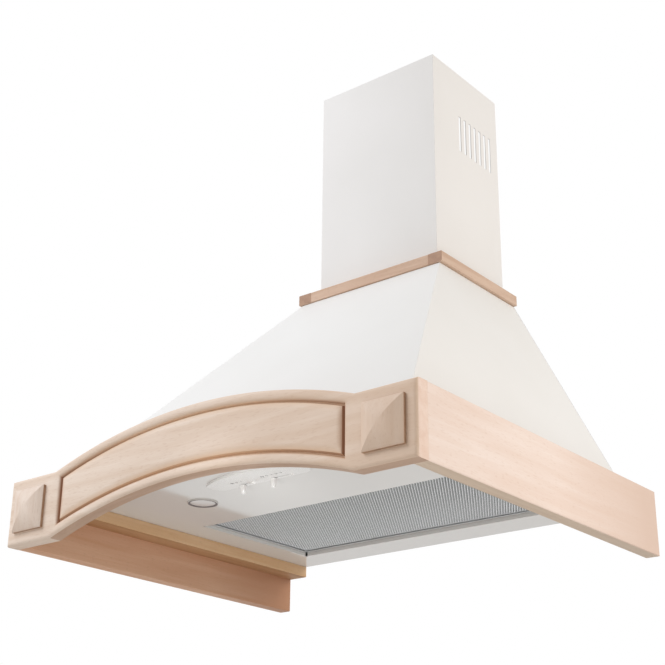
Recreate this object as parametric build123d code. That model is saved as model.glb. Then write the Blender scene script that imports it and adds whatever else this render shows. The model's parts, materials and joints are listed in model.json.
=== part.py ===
from build123d import *
import os
from math import atan2, cos, degrees, hypot, pi, radians, sin, sqrt

# Wall chimney hood: a lacquered steel body and chimney carried in a raw beech frame.
# X runs to the right as you face the hood, Y runs back to the wall, Z runs up, all in millimetres.
# The wall is Y = 0. Heights here are counted from the underside of the beech frame, and every piece is
# lowered by HANG_HEIGHT when it is written, so the origin lies midway between the two hanging holes.

# Beech frame
FRAME_WIDTH = 600.0
FRAME_DEPTH = 500.0
BOARD_HEIGHT = 80.0
BOARD_THICK = 18.0
ARCH_HALF_SPAN = 223.0
ARCH_RISE = 37.0
MOULD_HALF_LENGTH = 211.0
MOULD_MARGIN = 12.0
MOULD_DEPTH = 7.0
MOULD_FLAT = 0.6
MOULD_BEVEL = 8.4
MOULD_LIP = 3.5
ROSETTE_SIZE = 51.0
ROSETTE_EDGE = 4.0
ROSETTE_CROWN = 8.0
ROSETTE_BOW = 1.5
BATTEN_WIDTH = 30.0
BATTEN_HEIGHT = 15.0
BATTEN_BOTTOM = 46.0
DOWEL_RADIUS = 4.0
DOWEL_LENGTH = 30.0
DOWEL_IN_FRONT = 11.0
DOWEL_SPACING = 44.0
DOWEL_CLEARANCE = 0.1
EASED_EDGE = 0.8

# Chimney and its crown strips
CHIMNEY_WIDTH = 197.0
CHIMNEY_DEPTH = 162.0
CHIMNEY_HEIGHT = 336.0
CHIMNEY_RETURN = 10.0
CHIMNEY_FOOT = 13.0
VENT_COUNT = 7
VENT_PITCH = 12.75
VENT_WIDTH = 5.0
VENT_LENGTH = 56.0
VENT_TOP_GAP = 71.0
VENT_FIRST_FROM_WALL = 21.0
CROWN_WIDTH = 21.5
CROWN_HEIGHT = 15.0
CROWN_SIDE_OVERHANG = 5.0
CROWN_FRONT_OVERHANG = 2.5
BRACKET_HEIGHT = 24.0
BRACKET_THICK = 1.5
BRACKET_TOP_GAP = 130.0
BRACKET_GAP = 0.3
BRACKET_HOLE_SPACING = 120.0
BRACKET_HOLE_RADIUS = 2.5

# Steel body
SHEET = 1.0
BODY_SIDE_GAP = 8.0
BODY_FRONT_GAP = 2.0
CANOPY_HEIGHT = 314.0
CANOPY_FLANGE = 20.0
BACK_FLANGE = 15.0
SHEET_FIT = 0.2
HANG_HEIGHT = 330.0
HANG_SPACING = 190.0
HANG_HOLE_RADIUS = 4.0
LOCK_HEIGHT = 104.0
LOCK_SPACING = 420.0
LOCK_HOLE_RADIUS = 2.5
GROMMET_BORE = 3.5
GROMMET_NECK = 6.0
GROMMET_FLANGE = 8.0
GROMMET_FLANGE_THICK = 2.0
GROMMET_X = 75.0
GROMMET_FROM_WALL = 15.0

# Grease filter and its seat in the lower panel
CUT_WIDTH = 418.0
CUT_DEPTH = 206.0
CUT_FROM_WALL = 52.0
LIP_HEIGHT = 18.0
LIP_RELIEF_RADIUS = 2.0
FILTER_SIDE_GAP = 2.0
FILTER_FRONT_GAP = 2.0
FILTER_REAR_GAP = 4.0
FILTER_RECESS = 4.5
FILTER_THICK = 10.0
FILTER_SHEET = 0.8
FILTER_RIM = 4.0
PIVOT_FROM_REAR = 5.0
PIVOT_RADIUS = 2.0
PIVOT_CLEARANCE = 0.08
PIVOT_HEAD = 1.5
MESH_THICK = 0.6
MESH_SLOT_WIDTH = 8.0
MESH_BAR = 3.0
MESH_ROWS = 2
CORE_THICK = 1.2
CORE_HEIGHT = 4.0
GRID_BAR = 4.0
GRID_COLUMNS = 8
GRID_ROWS = 3
CLIP_WIDTH = 24.0
CLIP_SPACING = 250.0
CLIP_THICK = 0.5
CLIP_GAP = 0.3
CLIP_HEIGHT = 14.0

# Lamps
LAMP_X = 130.0
LAMP_FROM_WALL = 344.0
LAMP_HOLE_RADIUS = 17.6
LAMP_RING_RADIUS = 18.8
LAMP_RING_LIP = 1.4
LAMP_TUBE_RADIUS = 17.4
LAMP_TUBE_HEIGHT = 22.0
LAMP_TUBE_WALL = 0.8
LAMP_MOUTH_RADIUS = 15.6
LAMP_LEDGE = 1.0
BULB_CLEARANCE = 0.3
BULB_RIM = 3.0
BULB_HEIGHT = 26.0
BULB_NECK_RADIUS = 6.0
BULB_FACETS = 12
SOCKET_WIDTH = 20.0
SOCKET_DEPTH = 14.0
SOCKET_HEIGHT = 14.0
SOCKET_CORNER = 2.0

# Controls
PLATE_HALF_LENGTH = 73.0
PLATE_BULGE = 18.0
PLATE_END_DEPTH = 24.0
PLATE_FRONT_CORNER = 4.0
PLATE_REAR_CORNER = 15.0
PLATE_REAR_FROM_WALL = 374.0
PLATE_THICK = 3.0
SLIDER_INSET = 5.0
LIGHT_KNOB_X = -31.0
LIGHT_TRAVEL = 7.0
LIGHT_LENS_X = -15.5
SPEED_KNOB_X = 15.0
SPEED_TRAVEL = 21.0
SPEED_LENS_X = 42.6
KNOB_TOP_LENGTH = 6.4
KNOB_TOP_DEPTH = 5.8
KNOB_TIP_LENGTH = 4.4
KNOB_TIP_DEPTH = 4.0
KNOB_HEIGHT = 12.4
KNOB_GAP = 0.3
KNOB_EDGE = 0.8
STEM_LENGTH = 4.0
STEM_DEPTH = 2.4
STEM_IN_SWITCH = 6.0
SLOT_CLEARANCE = 0.4
SWITCH_END = 9.0
SWITCH_DEPTH = 15.0
SWITCH_HEIGHT = 17.0
SWITCH_EDGE = 1.5
LENS_RADIUS = 2.3
LENS_BULGE = 1.6
LENS_STEM_RADIUS = 1.6

# Blower
COLLAR_RADIUS = 60.0
COLLAR_WALL = 1.5
COLLAR_HEIGHT = 62.0
COLLAR_FROM_WALL = 90.0
COLLAR_BEAD = 2.0
FLANGE_HALF_X = 70.0
FLANGE_HALF_Y = 62.0
FLANGE_THICK = 1.5
FLAP_THICK = 1.2
FLAP_CLEARANCE = 1.0
FLAP_HEIGHT = 34.0
FLAP_KNUCKLE_RADIUS = 2.6
FLAP_AXLE_RADIUS = 1.5
FLAP_AXLE_OFFSET = 3.1
FLAP_SEAT_GAP = 0.3
AXLE_CLEARANCE = 0.06
AXLE_END_INSET = 0.4
FAN_DROP = 161.0
FAN_RADIUS = 66.0
FAN_EYE_RADIUS = 54.0
FAN_WIDTH = 92.0
FAN_RING = 1.6
FAN_DISC = 2.0
FAN_BLADES = 24
BLADE_THICK = 1.0
BLADE_SWEEP = 9.0
BLADE_BOW = 1.8
HUB_RADIUS = 13.0
HUB_LENGTH = 16.0
HUB_FIT = 0.02
SCROLL_STEP = 12.0
SCROLL_TONGUE_GAP = 6.0
SCROLL_WALL = 1.2
SCROLL_SIDE_GAP = 5.0
SCROLL_SIDE = 1.0
INLET_COLLAR = 3.4
MOTOR_RADIUS = 36.0
MOTOR_LENGTH = 60.0
MOTOR_BELL_RADIUS = 30.0
MOTOR_BELL_LENGTH = 9.0
MOTOR_DISC_GAP = 5.0
SHAFT_RADIUS = 4.0
SHAFT_CLEARANCE = 0.05
SHAFT_IN_MOTOR = 40.0
SPIDER_THICK = 2.0
SPIDER_RING = 6.0
SPIDER_ARM_WIDTH = 14.0
SPIDER_ARMS = 3
SPIDER_LAP = 8.0
SPIDER_FIT = 0.1

# Electrical boxes on the back panel
BOX_WIDTH = 62.0
BOX_DEPTH = 34.0
BOX_HEIGHT = 48.0
BOX_EDGE = 4.0
BOX_X = 140.0
BOX_BOTTOM = 126.0
TRANSFORMER_WIDTH = 70.0
TRANSFORMER_DEPTH = 30.0
TRANSFORMER_HEIGHT = 40.0

# Levels and faces that several pieces share
side_inner_x = FRAME_WIDTH / 2 - BOARD_THICK
front_back_y = -(FRAME_DEPTH - BOARD_THICK)
panel_bottom = BATTEN_BOTTOM + BATTEN_HEIGHT
panel_top = panel_bottom + SHEET
canopy_bottom = panel_top
canopy_top = canopy_bottom + CANOPY_HEIGHT
chimney_top = canopy_top + CHIMNEY_HEIGHT
chimney_half = CHIMNEY_WIDTH / 2
crown_half = chimney_half + CROWN_WIDTH
crown_front_y = -(CHIMNEY_DEPTH + CROWN_WIDTH)
base_half = side_inner_x - BODY_SIDE_GAP
base_front_y = front_back_y + BODY_FRONT_GAP
top_half = crown_half - CROWN_SIDE_OVERHANG
top_front_y = crown_front_y + CROWN_FRONT_OVERHANG
slope_x = (base_half - top_half) / CANOPY_HEIGHT
slope_y = (top_front_y - base_front_y) / CANOPY_HEIGHT
pieces = {}


def block(x0, x1, y0, y1, z0, z1):
    """A box between two corners."""
    centre = Pos((x0 + x1) / 2, (y0 + y1) / 2, (z0 + z1) / 2)
    return centre * Box(x1 - x0, y1 - y0, z1 - z0)


def rod(x, y, z, radius, length, direction=(0, 0, 1)):
    """A round bar that starts at a point and runs along a direction."""
    start = Plane(origin=(x, y, z), z_dir=direction)
    return extrude(start * Circle(radius), length)


def mirrored(solid):
    """The same piece for the other side of the hood."""
    return mirror(solid, about=Plane.YZ)


def group(solids):
    """Like pieces that share one name."""
    return Compound(children=list(solids))


def front_face(y):
    """A drawing plane that faces the front, at a given depth."""
    return Plane(origin=(0, y, 0), x_dir=(1, 0, 0), z_dir=(0, -1, 0))


def wedge(low, high, z0, z1):
    """A block with flat sloping sides between two level rectangles, each given as x0, x1, y0, y1."""
    front = make_face(Polyline((low[0], z0), (low[1], z0), (high[1], z1), (high[0], z1), close=True))
    side = make_face(Polyline((low[2], z0), (low[3], z0), (high[3], z1), (high[2], z1), close=True))
    across = extrude(front_face(0) * front, FRAME_DEPTH, both=True)
    return across & extrude(Plane.YZ * side, FRAME_WIDTH, both=True)


# Front board: an arched band between two square end blocks, with a raised field in a moulded groove.
arch_radius = (ARCH_HALF_SPAN ** 2 + ARCH_RISE ** 2) / (2 * ARCH_RISE)
low_centre = ARCH_RISE - arch_radius
high_centre = BOARD_HEIGHT + low_centre


def low_arc(x, margin):
    return low_centre + sqrt((arch_radius + margin) ** 2 - x ** 2)


def high_arc(x, margin):
    return high_centre + sqrt((arch_radius - margin) ** 2 - x ** 2)


def arched_band(half, margin):
    """The face between the two arcs, drawn in by a margin, cut off square at both ends."""
    low_left = (-half, low_arc(half, margin))
    low_right = (half, low_arc(half, margin))
    high_left = (-half, high_arc(half, margin))
    high_right = (half, high_arc(half, margin))
    bottom = ThreePointArc(low_left, (0, low_arc(0, margin)), low_right)
    top = ThreePointArc(high_right, (0, high_arc(0, margin)), high_left)
    return make_face([bottom, Line(low_right, high_right), top, Line(high_left, low_left)])


def field_outline(inset, depth):
    """The moulded field's outline, drawn in by an inset and set at a depth behind the board's face."""
    outline = arched_band(MOULD_HALF_LENGTH - inset, MOULD_MARGIN + inset)
    return front_face(-FRAME_DEPTH + depth) * outline


def front_valance():
    end = FRAME_WIDTH / 2
    low_left = (-ARCH_HALF_SPAN, 0)
    low_right = (ARCH_HALF_SPAN, 0)
    high_left = (-ARCH_HALF_SPAN, BOARD_HEIGHT)
    high_right = (ARCH_HALF_SPAN, BOARD_HEIGHT)
    outline = make_face([
        Line((-end, 0), low_left),
        ThreePointArc(low_left, (0, ARCH_RISE), low_right),
        Polyline(low_right, (end, 0), (end, BOARD_HEIGHT), high_right),
        ThreePointArc(high_right, (0, BOARD_HEIGHT + ARCH_RISE), high_left),
        Polyline(high_left, (-end, BOARD_HEIGHT), (-end, 0)),
    ])
    board = extrude(front_face(front_back_y) * outline, BOARD_THICK)
    board = chamfer(board.faces().sort_by(Axis.Y)[0].outer_wire().edges(), EASED_EDGE)
    pocket = extrude(field_outline(0, MOULD_DEPTH), MOULD_DEPTH)
    lip = [
        field_outline(0, MOULD_LIP),
        field_outline(-MOULD_LIP * 0.3, MOULD_LIP * 0.3),
        field_outline(-MOULD_LIP, 0),
    ]
    ovolo = [
        field_outline(MOULD_FLAT, MOULD_DEPTH),
        field_outline(MOULD_FLAT + MOULD_BEVEL * 0.2, MOULD_DEPTH * 0.52),
        field_outline(MOULD_FLAT + MOULD_BEVEL * 0.55, MOULD_DEPTH * 0.15),
        field_outline(MOULD_FLAT + MOULD_BEVEL, 0),
    ]
    groove = pocket + loft(lip, ruled=True) - loft(ovolo, ruled=True)
    return board - groove


def dowel_places():
    """Where the dowels join the front board to the side boards."""
    x = FRAME_WIDTH / 2 - BOARD_THICK / 2
    for side in (-1, 1):
        for step in (-1, 1):
            yield side * x, BOARD_HEIGHT / 2 + step * DOWEL_SPACING / 2


def dowel_bores(clearance):
    front = front_back_y - DOWEL_IN_FRONT - clearance
    length = DOWEL_LENGTH + 2 * clearance
    radius = DOWEL_RADIUS + clearance
    return [rod(x, front, z, radius, length, (0, 1, 0)) for x, z in dowel_places()]


def rosette():
    """A square block with a pillow face: two pointed vaults crossed, so four sharp ridges run on the diagonals."""
    half = ROSETTE_SIZE / 2
    crown = ROSETTE_EDGE + ROSETTE_CROWN
    haunch = ROSETTE_EDGE + ROSETTE_CROWN / 2 + ROSETTE_BOW
    vault = make_face([
        Polyline((half, ROSETTE_EDGE), (half, 0), (-half, 0), (-half, ROSETTE_EDGE)),
        ThreePointArc((-half, ROSETTE_EDGE), (-half / 2, haunch), (0, crown)),
        ThreePointArc((0, crown), (half / 2, haunch), (half, ROSETTE_EDGE)),
    ])
    upright = extrude(Plane(origin=(0, 0, -half), x_dir=(-1, 0, 0), z_dir=(0, 0, 1)) * vault, ROSETTE_SIZE)
    level = extrude(Plane(origin=(-half, 0, 0), x_dir=(0, 0, 1), z_dir=(1, 0, 0)) * vault, ROSETTE_SIZE)
    centre_x = (ARCH_HALF_SPAN + FRAME_WIDTH / 2) / 2
    return Pos(centre_x, -FRAME_DEPTH, BOARD_HEIGHT / 2) * (upright & level)


frame_bores = dowel_bores(DOWEL_CLEARANCE)
pieces["front_valance"] = front_valance() - frame_bores
pieces["rosette_right"] = rosette()
pieces["rosette_left"] = mirrored(pieces["rosette_right"])
side_board = block(side_inner_x, FRAME_WIDTH / 2, front_back_y, 0, 0, BOARD_HEIGHT)
side_board = chamfer(side_board.edges().filter_by(Axis.Y), EASED_EDGE)
pieces["side_board_right"] = side_board - frame_bores
pieces["side_board_left"] = mirrored(pieces["side_board_right"])
pieces["frame_dowels"] = group(dowel_bores(0))

# Battens: rails inside the side boards that carry the steel body.
batten_inner_x = side_inner_x - BATTEN_WIDTH
batten = block(batten_inner_x, side_inner_x, front_back_y, 0, BATTEN_BOTTOM, panel_bottom)
pieces["batten_right"] = batten
pieces["batten_left"] = mirrored(batten)

# Crown strips: the side strips run through to the front, and the front strip sits between them.
crown_top = canopy_top + CROWN_HEIGHT
crown_side = block(chimney_half, crown_half, crown_front_y, 0, canopy_top, crown_top)
crown_front = block(-chimney_half, chimney_half, crown_front_y, -CHIMNEY_DEPTH, canopy_top, crown_top)
pieces["crown_right"] = chamfer(crown_side.edges().filter_by(Axis.Y), EASED_EDGE)
pieces["crown_left"] = mirrored(pieces["crown_right"])
pieces["crown_front"] = chamfer(crown_front.edges().filter_by(Axis.X), EASED_EDGE)


# Steel body: a folded canopy, open at the back, where a flat panel closes it against the wall.
def canopy_section(z, inset):
    """A level section through the canopy, drawn in by a sheet thickness measured square to the walls."""
    rise = z - canopy_bottom
    half = base_half - slope_x * rise - inset * hypot(1, slope_x)
    front = base_front_y + slope_y * rise + inset * hypot(1, slope_y)
    return -half, half, front, -SHEET


def canopy_solid(z0, z1, inset):
    return wedge(canopy_section(z0, inset), canopy_section(z1, inset), z0, z1)


duct_y = -COLLAR_FROM_WALL
duct_bore = COLLAR_RADIUS - COLLAR_WALL


def canopy_shell():
    shell = canopy_solid(canopy_bottom, canopy_top, 0)
    shell -= canopy_solid(canopy_bottom, canopy_top - SHEET, SHEET)
    flange = canopy_solid(canopy_bottom, canopy_bottom + SHEET, 0)
    mouth_half = base_half - CANOPY_FLANGE
    flange -= block(-mouth_half, mouth_half, base_front_y + CANOPY_FLANGE, 0, canopy_bottom, canopy_top)
    shell += flange
    shell -= rod(0, duct_y, canopy_top - 2 * SHEET, duct_bore, 3 * SHEET)
    return shell - rod(GROMMET_X, -GROMMET_FROM_WALL, canopy_top - 2 * SHEET, GROMMET_NECK, 3 * SHEET)


def back_panel():
    outline = make_face(Polyline((-base_half, canopy_bottom), (base_half, canopy_bottom),
                                 (top_half, canopy_top), (-top_half, canopy_top), close=True))
    panel = extrude(front_face(0) * outline, SHEET)
    fold_in = SHEET + SHEET_FIT
    fold = canopy_solid(canopy_bottom + 2 * SHEET, canopy_top - 2 * SHEET, fold_in)
    fold -= canopy_solid(canopy_bottom + 2 * SHEET, canopy_top - 2 * SHEET, fold_in + SHEET)
    fold &= block(-base_half, base_half, -SHEET - BACK_FLANGE, -SHEET, canopy_bottom, canopy_top)
    panel += fold
    for side in (-1, 1):
        hang_x = side * HANG_SPACING / 2
        lock_x = side * LOCK_SPACING / 2
        panel -= rod(hang_x, 0, HANG_HEIGHT, HANG_HOLE_RADIUS, SHEET, (0, -1, 0))
        panel -= rod(lock_x, 0, LOCK_HEIGHT, LOCK_HOLE_RADIUS, SHEET, (0, -1, 0))
    return panel


pieces["canopy_shell"] = canopy_shell()
pieces["back_panel"] = back_panel()

# Chimney cover: a U of sheet steel with its rear edges and foot turned in, and vent slots in both sides.
vent_top = chimney_top - VENT_TOP_GAP


def vent_slots():
    middle_z = vent_top - VENT_LENGTH / 2
    for index in range(VENT_COUNT):
        y = -(VENT_FIRST_FROM_WALL + index * VENT_PITCH)
        yield Pos(0, y, middle_z) * Box(CHIMNEY_WIDTH, VENT_WIDTH, VENT_LENGTH)


def chimney_cover():
    inner = chimney_half - SHEET
    front = -CHIMNEY_DEPTH
    cover = block(-chimney_half, chimney_half, front, 0, canopy_top, chimney_top)
    cover -= block(-inner, inner, front + SHEET, -SHEET, canopy_top + SHEET, chimney_top)
    open_half = chimney_half - CHIMNEY_RETURN
    cover -= block(-open_half, open_half, -SHEET, 0, canopy_top, chimney_top)
    foot_half = inner - CHIMNEY_FOOT
    cover -= block(-foot_half, foot_half, front + SHEET, 0, canopy_top, canopy_top + SHEET)
    return cover - list(vent_slots())


pieces["chimney_cover"] = chimney_cover()


def chimney_bracket():
    """A strip on the wall whose stepped ends hold the chimney's turned-in rear edges."""
    top = chimney_top - BRACKET_TOP_GAP
    bottom = top - BRACKET_HEIGHT
    reach = chimney_half - SHEET - BRACKET_GAP
    wall_half = chimney_half - CHIMNEY_RETURN - BRACKET_GAP
    step = SHEET + BRACKET_GAP
    knee = wall_half - step
    back = [(0, 0), (knee, 0), (wall_half, -step), (reach, -step)]
    front = [(reach, -step - BRACKET_THICK), (wall_half - BRACKET_GAP, -step - BRACKET_THICK),
             (knee - BRACKET_GAP, -BRACKET_THICK), (0, -BRACKET_THICK)]
    outline = make_face(Polyline(*back, *front, close=True))
    half_strip = extrude(Plane.XY.offset(bottom) * outline, BRACKET_HEIGHT)
    strip = half_strip + mirrored(half_strip)
    for side in (-1, 1):
        x = side * BRACKET_HOLE_SPACING / 2
        strip -= rod(x, 0, (top + bottom) / 2, BRACKET_HOLE_RADIUS, BRACKET_THICK, (0, -1, 0))
    return strip


def cable_grommet():
    """A rubber ring snapped into the canopy's top, where the supply lead comes in."""
    base = canopy_top - SHEET - GROMMET_FLANGE_THICK
    height = SHEET + 2 * GROMMET_FLANGE_THICK
    ring = rod(GROMMET_X, -GROMMET_FROM_WALL, base, GROMMET_FLANGE, height)
    waist = rod(GROMMET_X, -GROMMET_FROM_WALL, canopy_top - SHEET, GROMMET_FLANGE, SHEET)
    waist -= rod(GROMMET_X, -GROMMET_FROM_WALL, canopy_top - SHEET, GROMMET_NECK, SHEET)
    return ring - waist - rod(GROMMET_X, -GROMMET_FROM_WALL, base, GROMMET_BORE, height)


pieces["chimney_bracket"] = chimney_bracket()
pieces["cable_grommet"] = cable_grommet()

# Lower panel: the filter's cut-out with an upturned lip, two lamp holes and two slider slots.
cut_half = CUT_WIDTH / 2
cut_rear_y = -CUT_FROM_WALL
cut_front_y = cut_rear_y - CUT_DEPTH
filter_half = cut_half - FILTER_SIDE_GAP
filter_front_y = cut_front_y + FILTER_FRONT_GAP
filter_rear_y = cut_rear_y - FILTER_REAR_GAP
filter_bottom = panel_bottom + FILTER_RECESS
filter_top = filter_bottom + FILTER_THICK
pivot_y = filter_rear_y - PIVOT_FROM_REAR
pivot_z = (filter_bottom + filter_top) / 2
lamp_y = -LAMP_FROM_WALL
slider_y = -PLATE_REAR_FROM_WALL - SLIDER_INSET
sliders = {"light": (LIGHT_KNOB_X, LIGHT_TRAVEL), "speed": (SPEED_KNOB_X, SPEED_TRAVEL)}
lens_x = {"light": LIGHT_LENS_X, "speed": SPEED_LENS_X}


def slider_slot(name, z0, z1):
    """The opening that a slider's stem runs in."""
    knob_x, travel = sliders[name]
    reach = STEM_LENGTH / 2 + SLOT_CLEARANCE
    width = STEM_DEPTH / 2 + SLOT_CLEARANCE
    return block(knob_x - reach, knob_x + travel + reach, slider_y - width, slider_y + width, z0, z1)


def lens_bore(name, z0, z1):
    """The opening that a small lens is pushed into, past the end of its slider's slot."""
    return rod(lens_x[name], slider_y, z0, LENS_STEM_RADIUS + SLOT_CLEARANCE, z1 - z0)


def lower_panel():
    panel = block(-base_half, base_half, base_front_y, 0, panel_bottom, panel_top)
    lip_top = panel_bottom + LIP_HEIGHT
    panel += block(-cut_half - SHEET, cut_half + SHEET, cut_front_y - SHEET, cut_rear_y + SHEET,
                   panel_bottom, lip_top)
    panel -= block(-cut_half, cut_half, cut_front_y, cut_rear_y, panel_bottom, lip_top)
    for corner_x in (-cut_half, cut_half):
        for corner_y in (cut_front_y, cut_rear_y):
            panel -= rod(corner_x, corner_y, panel_bottom, LIP_RELIEF_RADIUS, LIP_HEIGHT)
    pivot_bore = PIVOT_RADIUS + PIVOT_CLEARANCE
    panel -= rod(-cut_half - SHEET, pivot_y, pivot_z, pivot_bore, CUT_WIDTH + 2 * SHEET, (1, 0, 0))
    for side in (-1, 1):
        panel -= rod(side * LAMP_X, lamp_y, panel_bottom, LAMP_HOLE_RADIUS, SHEET)
    for name in sliders:
        panel -= slider_slot(name, panel_bottom, panel_top)
        panel -= lens_bore(name, panel_bottom, panel_top)
    return panel


pieces["lower_panel"] = lower_panel()


def filter_clips():
    """Leaf clips inside the front lip that press on the filter's front edge and hold it shut."""
    base = panel_bottom + LIP_HEIGHT - CLIP_HEIGHT
    bulge_y = filter_front_y - CLIP_GAP
    leaf = make_face([
        Polyline((cut_front_y, 0), (cut_front_y, CLIP_HEIGHT), (cut_front_y + CLIP_THICK, CLIP_HEIGHT)),
        ThreePointArc((cut_front_y + CLIP_THICK, CLIP_HEIGHT), (bulge_y, CLIP_HEIGHT / 2),
                      (cut_front_y + CLIP_THICK, 0)),
        Line((cut_front_y + CLIP_THICK, 0), (cut_front_y, 0)),
    ])
    for side in (-1, 1):
        left = side * CLIP_SPACING / 2 - CLIP_WIDTH / 2
        start = Plane(origin=(left, 0, base), x_dir=(0, 1, 0), z_dir=(1, 0, 0))
        yield extrude(start * leaf, CLIP_WIDTH)


pieces["filter_clips"] = group(filter_clips())


# Grease filter: a channel frame with a front mesh, a core layer and a back grid, on two pivot pins.
def filter_frame():
    frame = block(-filter_half, filter_half, filter_front_y, filter_rear_y, filter_bottom, filter_top)
    wall = FILTER_SHEET
    frame -= block(-filter_half + wall, filter_half - wall, filter_front_y + wall, filter_rear_y - wall,
                   filter_bottom + wall, filter_top - wall)
    rim = FILTER_RIM
    frame -= block(-filter_half + rim, filter_half - rim, filter_front_y + rim, filter_rear_y - rim,
                   filter_bottom, filter_top)
    return frame


def filter_sheet(z, thick):
    """A flat layer that fits inside the filter's channel frame."""
    gap = FILTER_SHEET + SHEET_FIT
    half = filter_half - gap
    return block(-half, half, filter_front_y + gap, filter_rear_y - gap, z, z + thick)


def openings_in_sheet(columns, rows, bar, thick, z):
    """Even rows and columns of openings inside the frame's rim, with bars of one width between them."""
    width = 2 * (filter_half - FILTER_RIM) - bar
    depth = filter_rear_y - filter_front_y - 2 * FILTER_RIM - bar
    pitch_x = width / columns
    pitch_y = depth / rows
    centre_y = (filter_front_y + filter_rear_y) / 2
    window = Rectangle(pitch_x - bar, pitch_y - bar)
    cells = GridLocations(pitch_x, pitch_y, columns, rows) * window
    return extrude(Plane.XY.offset(z) * Pos(0, centre_y) * Sketch(cells), thick)


def filter_mesh():
    z = filter_bottom + FILTER_SHEET
    columns = int((2 * (filter_half - FILTER_RIM) - MESH_BAR) // (MESH_SLOT_WIDTH + MESH_BAR))
    return filter_sheet(z, MESH_THICK) - openings_in_sheet(columns, MESH_ROWS, MESH_BAR, MESH_THICK, z)


def filter_back():
    z = filter_top - FILTER_SHEET - MESH_THICK
    return filter_sheet(z, MESH_THICK) - openings_in_sheet(GRID_COLUMNS, GRID_ROWS, GRID_BAR, MESH_THICK, z)


def pivot_pins():
    for side in (-1, 1):
        inner = filter_half - FILTER_SHEET
        length = FILTER_SHEET + FILTER_SIDE_GAP + SHEET + PIVOT_HEAD
        yield rod(side * inner, pivot_y, pivot_z, PIVOT_RADIUS, length, (side, 0, 0))


pins = list(pivot_pins())
pieces["filter_frame"] = filter_frame() - pins
pieces["filter_mesh"] = filter_mesh()
pieces["filter_core"] = filter_sheet(filter_bottom + CORE_HEIGHT, CORE_THICK)
pieces["filter_back"] = filter_back()
pieces["filter_pins"] = group(pins)


# Lamps: a trim ring pushed through the panel, a reflector bulb resting in it and a plug-in socket.
def turned(profile_points, x, y):
    """A solid of revolution about an upright axis, from radius and height pairs."""
    profile = make_face(Polyline(*profile_points, close=True))
    upright = Plane(origin=(0, 0, 0), x_dir=(1, 0, 0), z_dir=(0, -1, 0))
    return Pos(x, y, 0) * revolve(upright * profile, Axis.Z)


lamp_low = panel_bottom - LAMP_RING_LIP
bulb_low = lamp_low + LAMP_LEDGE
tube_inner = LAMP_TUBE_RADIUS - LAMP_TUBE_WALL
bulb_rim = tube_inner - BULB_CLEARANCE
bulb_top = bulb_low + BULB_HEIGHT


def lamp_ring(x):
    tube_top = panel_bottom + LAMP_TUBE_HEIGHT
    return turned([
        (LAMP_MOUTH_RADIUS, lamp_low), (LAMP_RING_RADIUS, lamp_low),
        (LAMP_RING_RADIUS, panel_bottom), (LAMP_TUBE_RADIUS, panel_bottom),
        (LAMP_TUBE_RADIUS, tube_top), (tube_inner, tube_top),
        (tube_inner, bulb_low), (LAMP_MOUTH_RADIUS, bulb_low),
    ], x, lamp_y)


def lamp_bulb(x):
    """A reflector bulb: a round glass front, a faceted reflector and a foot that plugs in."""
    rim_top = bulb_low + BULB_RIM
    foot = bulb_top - BULB_RIM
    slope = degrees(atan2(bulb_rim - BULB_NECK_RADIUS, foot - rim_top))
    facets = Plane(origin=(x, lamp_y, rim_top)) * RegularPolygon(bulb_rim, BULB_FACETS)
    bulb = rod(x, lamp_y, bulb_low, bulb_rim, BULB_RIM)
    bulb += extrude(facets, foot - rim_top, taper=slope)
    return bulb + rod(x, lamp_y, foot, BULB_NECK_RADIUS, BULB_RIM)


def lamp_socket(x):
    middle = bulb_top + SOCKET_HEIGHT / 2
    body = Pos(x, lamp_y, middle) * Box(SOCKET_WIDTH, SOCKET_DEPTH, SOCKET_HEIGHT)
    return fillet(body.edges().filter_by(Axis.Z), SOCKET_CORNER)


for side_name, side in (("left", -1), ("right", 1)):
    pieces["lamp_ring_" + side_name] = lamp_ring(side * LAMP_X)
    pieces["lamp_bulb_" + side_name] = lamp_bulb(side * LAMP_X)
    pieces["lamp_socket_" + side_name] = lamp_socket(side * LAMP_X)


# Controls: a lens-shaped plate under the panel, slide switches above it, and a tapered knob on each stem.
plate_bottom = panel_bottom - PLATE_THICK


def control_plate():
    rear = -PLATE_REAR_FROM_WALL
    end = rear - PLATE_END_DEPTH
    half = PLATE_HALF_LENGTH
    outline = make_face([
        ThreePointArc((-half, end), (0, end - PLATE_BULGE), (half, end)),
        Polyline((half, end), (half, rear), (-half, rear), (-half, end)),
    ])
    plate = extrude(Plane.XY.offset(plate_bottom) * outline, PLATE_THICK)
    corners = plate.edges().filter_by(Axis.Z).group_by(Axis.Y)
    plate = fillet(corners[-1], PLATE_REAR_CORNER)
    corners = plate.edges().filter_by(Axis.Z).group_by(Axis.Y)
    plate = fillet(corners[0], PLATE_FRONT_CORNER)
    for name in sliders:
        plate -= slider_slot(name, plate_bottom, panel_bottom)
        plate -= lens_bore(name, plate_bottom, panel_bottom)
    return plate


def slider_knob(name):
    knob_x = sliders[name][0]
    top = plate_bottom - KNOB_GAP
    tip = (-KNOB_TIP_LENGTH / 2, KNOB_TIP_LENGTH / 2, -KNOB_TIP_DEPTH / 2, KNOB_TIP_DEPTH / 2)
    root = (-KNOB_TOP_LENGTH / 2, KNOB_TOP_LENGTH / 2, -KNOB_TOP_DEPTH / 2, KNOB_TOP_DEPTH / 2)
    finger = wedge(tip, root, top - KNOB_HEIGHT, top)
    finger = chamfer(finger.edges().group_by(Axis.Z)[0], KNOB_EDGE)
    stem_top = panel_top + STEM_IN_SWITCH
    stem = block(-STEM_LENGTH / 2, STEM_LENGTH / 2, -STEM_DEPTH / 2, STEM_DEPTH / 2, top, stem_top)
    return Pos(knob_x, slider_y, 0) * (finger + stem)


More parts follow.
